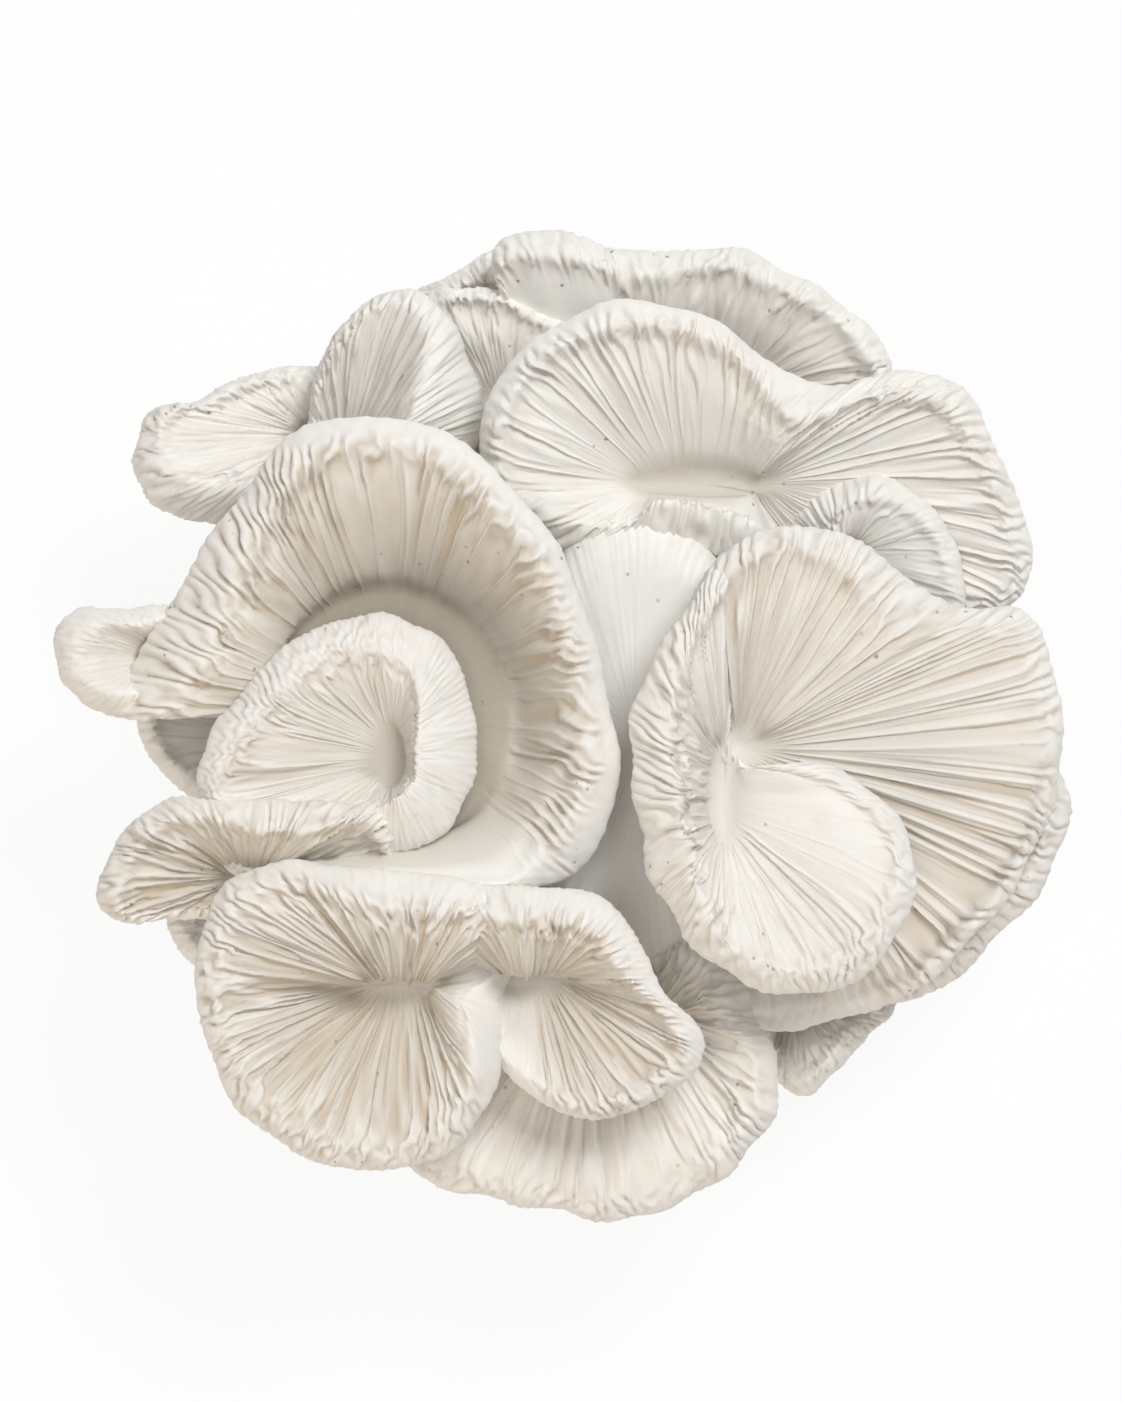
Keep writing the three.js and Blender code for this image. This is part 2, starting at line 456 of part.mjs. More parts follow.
// The same surface, moved outward by a clearance, so that a neighbour cut by it keeps clear
function swollen(geometry, clearance) {
  const grown = geometry.clone();
  grown.computeVertexNormals();
  const place = grown.attributes.position;
  const normal = grown.attributes.normal;
  for (let i = 0; i < place.count; i += 1) {
    place.setXYZ(
      i,
      place.getX(i) + normal.getX(i) * clearance,
      place.getY(i) + normal.getY(i) * clearance,
      place.getZ(i) + normal.getZ(i) * clearance,
    );
  }
  return grown;
}

function solidOf(geometry) {
  const mesh = new wasm.Mesh({
    numProp: 3,
    vertProperties: new Float32Array(geometry.attributes.position.array),
    triVerts: new Uint32Array(geometry.index.array),
  });
  return new wasm.Manifold(mesh);
}

function geometryOf(solid) {
  const { vertProperties, triVerts } = solid.getMesh();
  const geometry = new THREE.BufferGeometry();
  geometry.setAttribute('position', new THREE.BufferAttribute(new Float32Array(vertProperties), 3));
  geometry.setIndex([...triVerts]);
  return geometry;
}

// What is left of a solid in one piece once its neighbours are cut out of it
function largestPiece(solid) {
  return solid.decompose().reduce((best, piece) => (piece.volume() > best.volume() ? piece : best));
}

function namedMesh(name, geometry, look) {
  const mesh = new THREE.Mesh(geometry, new THREE.MeshStandardMaterial(look));
  mesh.name = name;
  mesh.geometry.computeVertexNormals();
  return mesh;
}

// What is left of a piece once every earlier one, with clearance round it, is cut away
function cutClear(geometry, cleared) {
  const rest = cleared.reduce((solid, earlier) => solid.subtract(earlier), solidOf(geometry));
  return geometryOf(largestPiece(rest.simplify(SLIVER)));
}

const cluster = new THREE.Group();
const clump = welded(clumpGeometry());
cluster.add(namedMesh('base_clump', clump, CUT_FLESH));

const cleared = [solidOf(swollen(clump, GAP))];
const core = welded(coreGeometry());
cluster.add(namedMesh('core_stem', cutClear(core, cleared), FLESH));
cleared.push(solidOf(swollen(core, GAP)));
for (const cap of CAPS) {
  const sheet = welded(capGeometry(cap));
  cluster.add(namedMesh(cap.name, cutClear(sheet, cleared), FLESH));
  cleared.push(solidOf(swollen(sheet, GAP)));
}

export default cluster;
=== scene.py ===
import math

import bpy
import numpy as np
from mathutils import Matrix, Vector


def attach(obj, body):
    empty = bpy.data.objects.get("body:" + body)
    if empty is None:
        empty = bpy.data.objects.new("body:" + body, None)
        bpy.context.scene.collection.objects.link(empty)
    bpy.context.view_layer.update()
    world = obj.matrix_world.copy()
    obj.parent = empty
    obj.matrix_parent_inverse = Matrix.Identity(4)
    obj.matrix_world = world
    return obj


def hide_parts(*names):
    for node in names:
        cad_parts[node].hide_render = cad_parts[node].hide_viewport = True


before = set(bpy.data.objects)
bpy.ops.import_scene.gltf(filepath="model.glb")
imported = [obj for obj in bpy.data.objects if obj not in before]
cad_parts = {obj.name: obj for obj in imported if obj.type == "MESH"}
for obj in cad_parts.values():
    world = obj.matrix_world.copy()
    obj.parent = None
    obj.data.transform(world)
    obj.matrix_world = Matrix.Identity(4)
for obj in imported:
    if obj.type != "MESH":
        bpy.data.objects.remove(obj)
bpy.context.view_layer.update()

# White coral mushroom cluster: every cap is a ruffled sheet lofted over ribs that run from its throat,
# up the gilled inside, over the rolled lip and down the smooth outside to its foot in the base clump.

MM = 0.001

# Flesh, in millimetres
SHEET = 4.2                 # thickness near the lip
STALK_FLESH = 8.0           # thickness round the throat
FOOT_HEIGHT = 12.0          # where most stalks end inside the clump

# How a rib climbs: shares of the way out to the crest and up to it, or millimetres from it
WALL_REACH, WALL_RISE = 0.16, 0.30
FLARE_REACH, FLARE_RISE = 0.58, 0.72
FLARE_LIFT = 0.55           # how much of a wall's bulge is left where it flares
WALL_OVERHANG = 0.5         # how far a bulging wall leans back over its throat
BROW_REACH, BROW_REACH_PER_ROLL = 1.0, 0.45
BROW_DROP, BROW_DROP_PER_ROLL = 0.8, 0.35
DROP_BASE, DROP_PER_ROLL = 1.2, 0.8         # how far the edge hangs below the crest
CURL_REACH, CURL_DROP = 0.45, 0.36          # the curl between them, as shares of the roll and the drop

CLUMP_RADIUS = 43.0
CLUMP_HEIGHT = 46.0
CLUMP_LOBES = 0.07          # how far its outline swells and draws in, as a share of its radius
CLUMP_LUMP = 0.9            # how far its flesh swells in small lumps

CORE_CENTRE = (13.0, -3.0)
CORE_HALF = (24.0, 43.0)
CORE_HEIGHT = 63.5
CORE_TILT = 0.24            # how much its top climbs towards the back
CORE_RIDGES = 88
CORE_RIDGE_HEIGHT = 0.6
CORE_CREASE = 0.08

# Gills, in millimetres
GILL_PITCH = 2.9            # from one ridge to the next along the lip
GILL_HEIGHT = 1.55
GILL_WRAP = 2.5             # the stretch over which they fade on the outer side of the lip
BARE_LIP = 1.5              # how much of the lip's outer side stays smooth outside them
STRIA_PITCH = 1.5           # faint lines down the smooth outside
STRIA_HEIGHT = 0.10
WEAKEST_GILL, STRONGEST_GILL = 0.45, 1.15   # as shares of GILL_HEIGHT
FOLD_HEIGHT = 0.5           # slow swells of the whole sheet
FULL_FOLD_LIP = 250.0       # lips shorter than this swell less
KNOB_HEIGHT = 0.09          # small knobs along the lip

# Colours
IVORY = (0.90, 0.885, 0.85, 1.0)
CREAM = (0.82, 0.79, 0.74, 1.0)
# Warm painted shade between the gills, also the tone of random warm patches
WARM_SHADE_AND_PATCH = (0.58, 0.49, 0.385, 1.0)
# Painted shade inside the throats, under the lips and down the stalks
SHADED_FLESH = (0.44, 0.395, 0.32, 1.0)
CUT_FLESH = (0.74, 0.69, 0.6, 1.0)
PIT_BROWN = (0.30, 0.22, 0.15, 1.0)

# What each piece's own irregularity starts from
CAP_SEED, CORE_SEED, CLUMP_SEED = 11, 5, 7

# Places along a rib, counted in its keys, where the gills and the outside lines rise and fade
KEY_POLE, KEY_THROAT, KEY_WALL, KEY_FLARE, KEY_BROW, KEY_CREST, KEY_CURL, KEY_EDGE = range(8)
KEY_UNDER_EDGE, KEY_UNDER_CREST, KEY_UNDER_FLARE, KEY_UNDER_WALL, KEY_STALK_TOP = range(8, 13)
KEY_STALK, KEY_FOOT, KEY_END = range(13, 16)

# How many rows of faces each stretch between two keys gets, and the share of them on the caps behind
ROWS = (2, 6, 10, 7, 6, 6, 6, 4, 4, 3, 3, 2, 2, 1, 1)
ROWS_BEHIND = 0.7

# Where a cap is bare of gills: (first lip point, last lip point, gills on the face, gills on the lip)
BARE = {
    "left_front_cap": [(26.5, 30.5, 0.0, 0.0)],
    "left_ear_cap": [(-1, 14, 0.3, 0.35)],
    "right_scroll_cap": [(0.5, 6.5, 0.05, 0.6), (7, 8, 0.4, 0.8)],
    "right_front_cap": [(21.5, 24.5, 0.6, 0.3)],
    "top_back_cap": [(9.5, 16, 0.0, 1.0)],
    "right_ear_cap": [(3, 10, 0.4, 0.5)],
    "upper_right_cap": [(25.5, 31.5, 0.0, 1.0)],
    "lower_left_cap": [(19.5, 24.5, 0.2, 0.0)],
    "lower_middle_cap": [(16, 21.5, 0.1, 0.0)],
    "left_scroll_cap": [(-3, 4.5, 0.35, 0.3), (5, 15, 0.7, 0.6), (15.5, 22, 0.35, 0.3)],
}

# Where a cap's gills end at the crest and the rim outside is smooth: (first lip point, last lip point)
SMOOTH_RIM = {
    "left_front_cap": [(-1, 12)],
    "upper_right_cap": [(-1, 11)],
    "lower_middle_cap": [(3, 11)],
    "lower_left_cap": [(0, 5)],
}

# Every cap, in millimetres: the middle of its throat, the throat's half sizes and the dip in its floor;
# where its foot stands and how thick it is; and its lip point by point: x, y, height of the crest, how far
# the lip rolls over, and how far the sheet inside it bulges (+) or lies flat (-). "brow" is how strongly the
# sheet drops just inside its crest, 1 unless given.
CAPS = {
    "left_front_cap": {
        "throat": (-31, 1, 73), "half": (20.5, 22), "dip": 4,
        "foot": (-14, 2, FOOT_HEIGHT), "foot_radius": 10,
        "lip": [
            (2.5, -25.5, 82.5, 7, -1), (8, -18.5, 84.5, 7, -2), (9.2, -9, 86, 5.5, -4),
            (8.5, 1, 88, 4.5, -4), (7, 11, 90, 4.5, -4), (4, 21, 92, 4.5, -4), (-0.5, 31, 94, 4.5, -4),
            (-7, 39.5, 95, 4.5, -3), (-13.5, 46, 95.5, 5, -3), (-21, 51.5, 95.5, 5, -2),
            (-29, 54, 95, 5, -2), (-37, 54.5, 94, 5.5, -1), (-45, 52.5, 92.5, 6, 0),
            (-52, 47, 90.5, 6.5, 0), (-57, 40.5, 88, 7, 0), (-62, 33.5, 86, 8, 0),
            (-66.5, 26.5, 84, 9, 1), (-70.5, 20, 82.5, 10, 2), (-74.5, 13.5, 81, 10.5, 3),
            (-78, 7.5, 79, 10, 3), (-79, 2, 76, 7, 2), (-70, 3, 74, 3, 1), (-62, 6, 72, 2, 0),
            (-56, 5, 69, 2, 0), (-56, -4, 67, 2, 0), (-57, -14, 68, 2, 0), (-60, -25, 74, 2, 0),
            (-48, -28, 82, 2, 0), (-34, -29, 86, 2, 2), (-20, -29.5, 86, 2, 2), (-7, -29.5, 84, 3, 1),
        ],
    },
    "left_scroll_cap": {
        "throat": (-30.5, -5.5, 79), "half": (2.5, 5), "dip": 0.8, "brow": 0.5,
        "foot": (-32, -3, 66), "foot_radius": 8,
        "lip": [
            (-15.2, -4, 90, 11, 0), (-16.2, 5, 90, 11, 0), (-18.8, 11.5, 89.5, 10, 0),
            (-23, 16.5, 89, 8.5, -1), (-29, 19.3, 88.5, 7, -1), (-36, 19.3, 88, 5.5, -1.5),
            (-43, 17.5, 87.5, 5, -1.5), (-49, 14, 87, 5, -2), (-54, 9, 87, 5, -2),
            (-58.5, 4, 86.5, 5, -2), (-62.3, -2, 86, 5, -2), (-64.5, -8.5, 84, 4, -1.5),
            (-63, -13.5, 81, 2.5, -1), (-56, -15.5, 80, 2.5, -1), (-48, -17.5, 81, 4, -1),
            (-41, -20, 84, 6, -1), (-34, -22, 87.5, 8, -1), (-27, -22, 90, 10, 0),
            (-20.5, -18.2, 90.5, 11, 0), (-16.5, -12, 90.5, 11, 0),
        ],
    },
    "left_lower_cap": {
        "throat": (-55, -27, 68), "half": (4, 2), "dip": 1.5,
        "foot": (-24, -12, FOOT_HEIGHT), "foot_radius": 8,
        "lip": [
            (-29.5, -13.5, 89.5, 6, 3), (-38, -13.5, 89, 6.5, 4), (-46, -13.2, 88, 6, 4),
            (-54, -12.9, 86.5, 5, 3), (-62, -12.7, 84.5, 4, 2), (-69, -12.9, 83, 4, 1),
            (-75, -16, 81, 4, 0), (-79.3, -21, 79, 4, 0), (-81.8, -27, 77, 4, 0), (-82, -32, 75, 3.5, 0),
            (-79, -34.6, 72, 2.5, 0), (-72, -34.5, 69, 2, 0), (-64, -34, 67, 2, 0), (-55, -33, 66, 2, 0),
            (-46, -31, 67, 2, 0), (-37, -27, 73, 3, 0), (-29, -21.5, 83, 3, 1),
        ],
    },
    "left_ear_cap": {
        "throat": (-71, 12, 66), "half": (2.5, 3), "dip": 1.5, "brow": 0.3,
        "foot": (-30, 8, FOOT_HEIGHT), "foot_radius": 7,
        "lip": [
            (-65, 21, 73, 2, 0), (-71, 21.5, 75, 2.5, 0), (-78, 20.6, 76, 3.5, 0),
            (-84.5, 21, 77, 4.5, 0), (-88.8, 18.5, 77.5, 4, 0), (-90, 14, 77, 3.5, 0),
            (-89, 9, 76.5, 3.5, 0), (-86, 5, 76, 4, 0), (-82, 2.3, 75.5, 5, 0), (-77.5, 1.5, 74, 5, 0),
            (-71, 3, 71, 3, 0), (-65, 7, 68, 2, 0), (-62, 14, 69, 2, 0),
        ],
    },
    "lower_left_cap": {
        "throat": (-28, -45.8, 72), "half": (6, 1.4), "dip": 0.3,
        "foot": (-12, -20, FOOT_HEIGHT), "foot_radius": 9,
        "lip": [
            (-9, -28, 89, 6, 5), (-17, -27, 91, 6, 5), (-25, -25.8, 91, 6.5, 5), (-33, -25, 91, 6.5, 5),
            (-41, -24.2, 90, 6, 5), (-49, -23.3, 88, 5.5, 5), (-55.5, -25.3, 86, 5, 5),
            (-60, -28.7, 84, 4.5, 5), (-62.8, -33.5, 82, 4, 5), (-64.5, -40, 80, 4, 4.5),
            (-64.8, -48, 79, 4, -2), (-63.2, -56, 78, 4, -2.5), (-60, -63.5, 77, 4, -2),
            (-55, -70, 76, 4, -1), (-48, -75, 75.5, 4, 0), (-40, -78.2, 75.5, 4, 0),
            (-31, -78.7, 76, 4, 0), (-24, -76.8, 77, 4, 0), (-18, -73.5, 78, 5, 0),
            (-13.8, -68, 80, 6.5, 0), (-11.2, -61.5, 82, 7.5, 2), (-10.5, -54.5, 82, 8, 3),
            (-10.5, -48, 78, 6, 2), (-8, -42, 76, 3, 0), (-5.5, -36, 79, 3, 2), (-5.5, -30.5, 84, 4, 5),
        ],
    },
    "lower_middle_cap": {
        "throat": (-6, -44.5, 71), "half": (6, 1.4), "dip": 0.3,
        "foot": (2, -22, FOOT_HEIGHT), "foot_radius": 8,
        "lip": [
            (-24, -28.5, 85, 4, 4), (-18, -27.5, 89.5, 5.5, 5), (-12, -28, 90.5, 6, 5),
            (-5, -28, 90.5, 6, 5), (1, -28.3, 90, 6, 4), (6.5, -30, 89, 6, 3), (10.7, -33.7, 88, 5.5, 2),
            (14.2, -40, 86, 5, 1), (18, -46.3, 84, 5, 0), (21.8, -50.7, 82, 5, 0),
            (24.6, -56, 80, 4.5, 0), (23.5, -61, 78.5, 4, 0), (18, -65, 77, 3.5, 0),
            (12, -68.3, 76, 3, 0), (5.5, -69.6, 75, 3, 0), (-1, -68, 74.5, 3, 0), (-6, -65, 74, 3, 0),
            (-10.5, -61, 75.5, 2.5, 0), (-14.5, -56, 76.5, 2, 0), (-16, -50, 76, 2, 0),
            (-16.5, -45, 74, 2, 0), (-20, -40, 76, 2, 2), (-24, -34, 80, 3, 4),
        ],
    },
    "right_scroll_cap": {
        "throat": (28.5, -12, 74), "half": (2.5, 8), "dip": 1.5,
        "foot": (14, -8, FOOT_HEIGHT), "foot_radius": 9,
        "lip": [
            (33.5, -7.5, 74.5, 2.5, 0), (39, -6.5, 78, 3.5, 0), (45, -6.8, 79.5, 4, 0),
            (51, -9, 81, 4, 0), (56, -12.8, 81, 4, 0), (60, -17.5, 82, 3.5, 0), (62, -23, 83, 3.5, 0),
            (62, -29, 83, 3.5, 0), (59.8, -34.5, 83, 4, 0), (56, -41, 83, 4, 0),
            (50.5, -45.2, 84, 4.5, 0), (44, -47.3, 85, 5, 0), (37, -47, 86, 5.5, 0),
            (30, -44.5, 88, 6, 0), (23.5, -39, 90, 7, 0), (18, -31.5, 91, 7.5, 0), (14.6, -24, 92, 8, 0),
            (12.8, -16, 92, 8, 0), (12, -8, 92, 8, 0), (11.7, 0, 92, 7.5, 0), (14, 7.5, 92, 7, 0),
            (18, 15.5, 91.5, 6, 0), (23, 23, 90.5, 5, 0), (28, 28.5, 88.5, 4.5, 0),
            (31.5, 27, 81, 2.5, 0), (33, 18, 74, 2, 0), (33.5, 8, 71, 2, 0), (34, 0, 71, 2, 0),
        ],
    },
    "right_front_cap": {
        "throat": (31, -4, 74), "half": (3.5, 3), "dip": 1.5, "brow": 0.6,
        "foot": (17, 2, FOOT_HEIGHT), "foot_radius": 10,
        "lip": [
            (24.5, 26.5, 84, 4, 0), (29, 30.8, 87, 4, 0), (36, 34.2, 88, 4, 0), (43, 35.2, 87, 4.5, 0),
            (49, 34, 86, 5, 0), (55, 30.7, 84, 6, 1), (61, 26.5, 82, 7, 2), (66, 22.6, 80, 8, 3),
            (70.5, 20.7, 79, 8.5, 3), (75, 21, 78, 8.5, 3), (79.5, 21.3, 77, 7.5, 3),
            (83.5, 18, 76, 5, 3), (86.2, 12, 75, 3.5, 3), (88, 4, 73, 3, 3), (88.4, -4, 71, 2.5, 3),
            (87.3, -12, 69, 2.5, 3), (84.8, -20, 66, 2.5, 3), (81, -28, 63, 2.5, 3),
            (76, -34.5, 60, 2.5, 3), (70, -41, 57, 3, 3), (64, -46.5, 54, 3, 2), (57, -51, 50, 4, 2),
            (49, -53, 47, 3, 1), (40, -55.5, 44, 3, 0), (31, -53, 43, 2, 0), (25, -45, 44, 2, 0),
            (21, -33, 46, 2, 0), (20, -20, 49, 2, 0), (20, -6, 53, 2, 0), (20, 8, 61, 2, 0),
            (21.5, 19, 73, 3, 0),
        ],
    },
    "upper_right_cap": {
        "throat": (25, 43, 60.5), "half": (12, 2.2), "dip": 0.8,
        "foot": (6, 15, FOOT_HEIGHT), "foot_radius": 12,
        "lip": [
            (-13.5, 42, 70, 4, 0), (-15.3, 49, 72, 4, 0), (-14, 56, 74, 4, 0), (-10.8, 63, 75, 4, 0),
            (-6, 68.3, 76, 4, 0), (1, 72.2, 77, 4, 0), (8.5, 74.4, 78, 4, 0), (16, 74.5, 78, 4, 0),
            (23, 73.4, 78, 4, 0), (29, 70.7, 77, 4, 0), (35, 66, 76, 4.5, 0), (40.5, 62.2, 75, 6, 0),
            (47, 60.4, 74, 8, 1), (54, 61.4, 73, 9.5, 1), (60.5, 63.3, 72, 9, 1), (67, 62, 71, 6.5, 0),
            (72, 58.5, 69, 4.5, 0), (76, 52.3, 67, 4, 0), (79, 45.5, 65, 3.5, 0), (81.7, 38, 62, 3.5, 0),
            (83.6, 29.5, 59, 3.5, 0), (82, 22.5, 56, 3, 0), (75, 19, 53, 3, 0), (64, 18, 50, 3, 0),
            (52, 20, 49, 3, 0), (44, 26, 54, 4, 0), (38, 28, 63, 6, 0), (31, 29.5, 68, 8, 0),
            (24, 31, 70.5, 8, 0), (18, 31.7, 71.5, 8, 0), (12, 31, 71, 8, 0), (7, 29, 70, 8, 0),
            (2, 29.3, 69.5, 8, 0), (-4, 32.5, 69.5, 7, 0), (-9.5, 37, 70, 6, 0),
        ],
    },
    "right_ear_cap": {
        "throat": (50, 30, 61), "half": (3, 3), "dip": 1, "brow": 0.5,
        "foot": (28, 8, FOOT_HEIGHT), "foot_radius": 8,
        "lip": [
            (37, 35, 58, 8, 2), (39.5, 39.5, 60, 8, 2), (44, 43.3, 63, 7.5, 2), (50, 45, 66, 6, 1),
            (56, 44.5, 68, 4.5, 0), (61.5, 42.3, 68, 3.5, 0), (66, 38.3, 67, 3, 0),
            (69.4, 33.3, 65, 3, 0), (71.3, 27, 63, 3, 0), (71.5, 20, 60, 3, 0), (67, 14, 55, 3, 0),
            (57, 11, 52, 3, 0), (46, 12, 50, 3, 0), (38, 19, 51, 4, 0), (36, 28, 55, 6, 1),
        ],
    },
    "top_back_cap": {
        "throat": (16, 60, 34), "half": (18, 3), "dip": 2,
        "foot": (10, 27, FOOT_HEIGHT), "foot_radius": 9,
        "lip": [
            (59.5, 60, 45, 3, 0), (59, 64.5, 48, 3, 0), (56, 69.8, 50, 3.5, 0), (51, 75, 52, 3.5, 0),
            (45, 79, 53, 3.5, 0), (38, 82.5, 54, 3.5, 0), (30.5, 85.4, 55, 3.5, 0),
            (23, 85.2, 55, 3.5, 0), (16, 84.6, 56, 4, 0), (10, 85.5, 57, 5, 0), (4, 87.4, 58, 5, 0),
            (-2.5, 88.5, 59, 5, 0), (-8, 87.8, 59, 4.5, 0), (-12, 85.2, 58, 3, 0),
            (-12.8, 81.5, 56, 2, 0), (-10, 76, 50, 2, 0), (-4, 68, 44, 2, 0), (2, 58, 38, 2, 0),
            (14, 53, 35, 2, 0), (30, 52, 35, 2, 0), (44, 53, 37, 2, 0), (54, 56, 40, 3, 0),
        ],
    },
    "top_left_back_cap": {
        "throat": (-10, 72, 30), "half": (3, 2.5), "dip": 2,
        "foot": (-12, 30, 9), "foot_radius": 6,
        "lip": [
            (-28, 76.5, 42, 3, 0), (-23, 80, 43, 3, 0), (-18, 82.3, 44, 3, 0), (-13, 85.7, 44, 3, 0),
            (-8, 86.5, 42, 3, 0), (-3, 82, 38, 3, 0), (0, 75, 35, 3, 0), (-3, 67, 33, 3, 0),
            (-11, 63, 32, 3, 0), (-19, 65, 35, 3, 0), (-26, 70, 39, 3, 0),
        ],
    },
    "back_notch_cap": {
        "throat": (-10, 58, 42), "half": (6, 2.5), "dip": 2,
        "foot": (-6, 26, 24), "foot_radius": 7,
        "lip": [
            (-27, 74, 52, 2, 0), (-24, 77.4, 53, 2, 0), (-17, 78.4, 53, 2, 0), (-10.5, 77.6, 53, 2, 0),
            (-4, 74.6, 52, 2, 0), (2, 70.5, 51, 2, 0), (5, 64, 49, 3, 0), (3, 56, 46, 3, 0),
            (-4, 51, 44, 3, 0), (-13, 50, 44, 3, 0), (-21, 55, 46, 3, 0), (-26, 64, 49, 3, 0),
        ],
    },
    "upper_left_fold_cap": {
        "throat": (-40, 46, 46), "half": (4.5, 3), "dip": 2, "brow": 0.3,
        "foot": (-14, 26, 28), "foot_radius": 9,
        "lip": [
            (-45.5, 50, 52, 2, 0), (-45.2, 58, 55, 2.5, 0), (-43.5, 65, 58, 2.5, 0),
            (-40, 70.6, 61, 2.5, 0), (-35.5, 74.9, 64, 2.5, 0), (-30, 77.5, 66, 2.5, 0),
            (-25.5, 77, 68, 3, 0), (-22.3, 74.8, 70, 4, 1), (-19.5, 71.5, 71, 7, 2), (-17, 66, 72, 12, 4),
            (-14.8, 60, 71, 15, 5), (-14.5, 53, 69, 16, 5), (-17.5, 46, 66, 14, 4), (-24, 40.5, 60, 8, 2),
            (-32, 38, 53, 3, 0), (-40, 39, 50, 2, 0), (-45, 43.5, 50, 2, 0),
        ],
    },
    "left_upper_cap": {
        "throat": (-44, 52, 44), "half": (3, 2.5), "dip": 1.5,
        "foot": (-24, 24, 16), "foot_radius": 8,
        "lip": [
            (-38, 62, 48, 2, 0), (-44, 64.3, 49, 2, 0), (-50, 64.3, 50, 2, 0), (-57, 62.6, 52, 2, 0),
            (-62, 60.2, 53, 2, 0), (-66.5, 57.8, 54, 2.5, 0), (-71.5, 57.2, 55, 3, 0),
            (-75, 54.7, 56, 3.5, 0), (-76.6, 49.5, 57, 5, 0), (-76.2, 43.5, 58, 7, 1),
            (-73, 39.3, 59, 9, 2), (-67.5, 37, 60, 10.5, 3), (-60.5, 35.8, 60, 11, 3),
            (-53, 35.5, 59, 11, 3), (-45, 37, 56, 9, 2), (-38, 41, 51, 5, 0), (-35, 48, 47, 3, 0),
            (-35, 56, 47, 2, 0),
        ],
    },
    "bottom_fan_cap": {
        "throat": (6, -52, 52), "half": (13, 2), "dip": 2, "brow": 0.3,
        "foot": (5, -25, FOOT_HEIGHT), "foot_radius": 9,
        "lip": [
            (-28.5, -77.5, 52, 3, 4), (-25, -81.3, 53, 3, 4), (-19.5, -83.5, 54, 3, 5),
            (-12.5, -84.8, 55, 3, 5), (-5, -86, 55, 3, 5), (2, -87.5, 55, 3, 5), (9, -88.6, 55, 3, 5),
            (16, -87.4, 55.5, 3, 5), (23, -84.3, 56, 3.5, 5), (29.5, -79.5, 58, 4, 3),
            (35, -74, 60, 4.5, 1), (38.6, -66.5, 62, 5, 0), (37.8, -59, 63, 5, 0),
            (34.5, -52, 62, 4.5, 0), (31, -45, 60, 4, 0), (24, -38, 55, 3, 0), (10, -40, 48, 3, 0),
            (-8, -46, 44, 3, 0), (-22, -57, 42, 3, 0), (-28, -69, 42, 3, 2),
        ],
    },
    "right_back_cap": {
        "throat": (46, -16, 40), "half": (4, 4), "dip": 2,
        "foot": (24, -4, FOOT_HEIGHT), "foot_radius": 8,
        "lip": [
            (84, 6, 54, 3, 0), (88, -4, 55, 3, 0), (90.3, -13, 55, 3.5, 0), (89.8, -20, 54, 4, 0),
            (87, -27, 52, 4, 0), (83, -32.5, 50, 4, 0), (78.5, -38, 48, 4, 0), (73.5, -43, 46, 4, 0),
            (67.5, -47.3, 44, 4, 0), (60, -50, 42, 4, 0), (46, -48, 39, 3, 0), (34, -38, 38, 3, 0),
            (28, -24, 38, 3, 0), (30, -8, 40, 3, 0), (42, 4, 43, 3, 0), (58, 8, 48, 3, 0),
            (74, 9, 52, 3, 0),
        ],
    },
    "lower_right_small_cap": {
        "throat": (42, -47, 22), "half": (3, 3), "dip": 2,
        "foot": (22, -20, FOOT_HEIGHT), "foot_radius": 7,
        "lip": [
            (37, -60, 32, 3, 0), (39.5, -65.3, 34, 3, 0), (44, -67, 35, 3, 0), (49.5, -62.5, 35, 3, 0),
            (55, -56.5, 34, 3, 0), (60, -51.5, 33, 3, 0), (60, -42, 30, 3, 0), (50, -36, 28, 3, 0),
            (38, -36, 27, 3, 0), (31, -42, 27, 3, 0), (32, -52, 29, 3, 0),
        ],
    },
    "left_low_back_cap": {
        "throat": (-48, -35, 40), "half": (3, 3), "dip": 2,
        "foot": (-20, -18, FOOT_HEIGHT), "foot_radius": 7,
        "lip": [
            (-60, -26, 52, 3, 0), (-68, -29, 54, 3, 0), (-71, -35, 54, 3, 0), (-68, -41, 53, 3, 0),
            (-63, -46, 51, 3, 0), (-54, -50, 48, 3, 0), (-43, -48, 45, 3, 0), (-36, -38, 44, 3, 0),
            (-38, -27, 46, 3, 0), (-48, -24, 49, 3, 0),
        ],
    },
    "left_mid_back_cap": {
        "throat": (-50, -3, 40), "half": (3, 3), "dip": 2,
        "foot": (-23, -2, FOOT_HEIGHT), "foot_radius": 7,
        "lip": [
            (-68, 8, 54, 3, 0), (-76, 2, 56, 3, 0), (-75, -4, 56, 3, 0), (-71.5, -8.5, 55, 3, 0),
            (-67, -12.5, 54, 3, 0), (-58, -17, 51, 3, 0), (-45, -16, 47, 3, 0), (-38, -4, 45, 3, 0),
            (-42, 8, 48, 3, 0), (-54, 12, 52, 3, 0),
        ],
    },
}

# How finely each cap is modelled, in columns per millimetre of lip
DETAIL = {
    "left_front_cap": 3.6,
    "left_scroll_cap": 4.0,
    "lower_left_cap": 4.0,
    "lower_middle_cap": 4.0,
    "right_scroll_cap": 4.0,
    "right_front_cap": 3.6,
    "upper_right_cap": 3.8,
}
DETAIL_BEHIND = 2.6

# Caps whose ridges stand further apart
WIDE_PITCH = {
    "left_scroll_cap": 3.6,
}

# How high the ridges still are at the foot of the wall, as a share of their height at the lip
GILLS_INSIDE_ELSEWHERE = 0.6
GILLS_INSIDE = {
    "left_front_cap": 0.35,
    "left_scroll_cap": 0.35,
    "right_scroll_cap": 0.55,
    "right_front_cap": 0.45,
    "upper_right_cap": 0.2,
    "lower_left_cap": 0.75,
    "lower_middle_cap": 0.6,
    "bottom_fan_cap": 0.9,
}
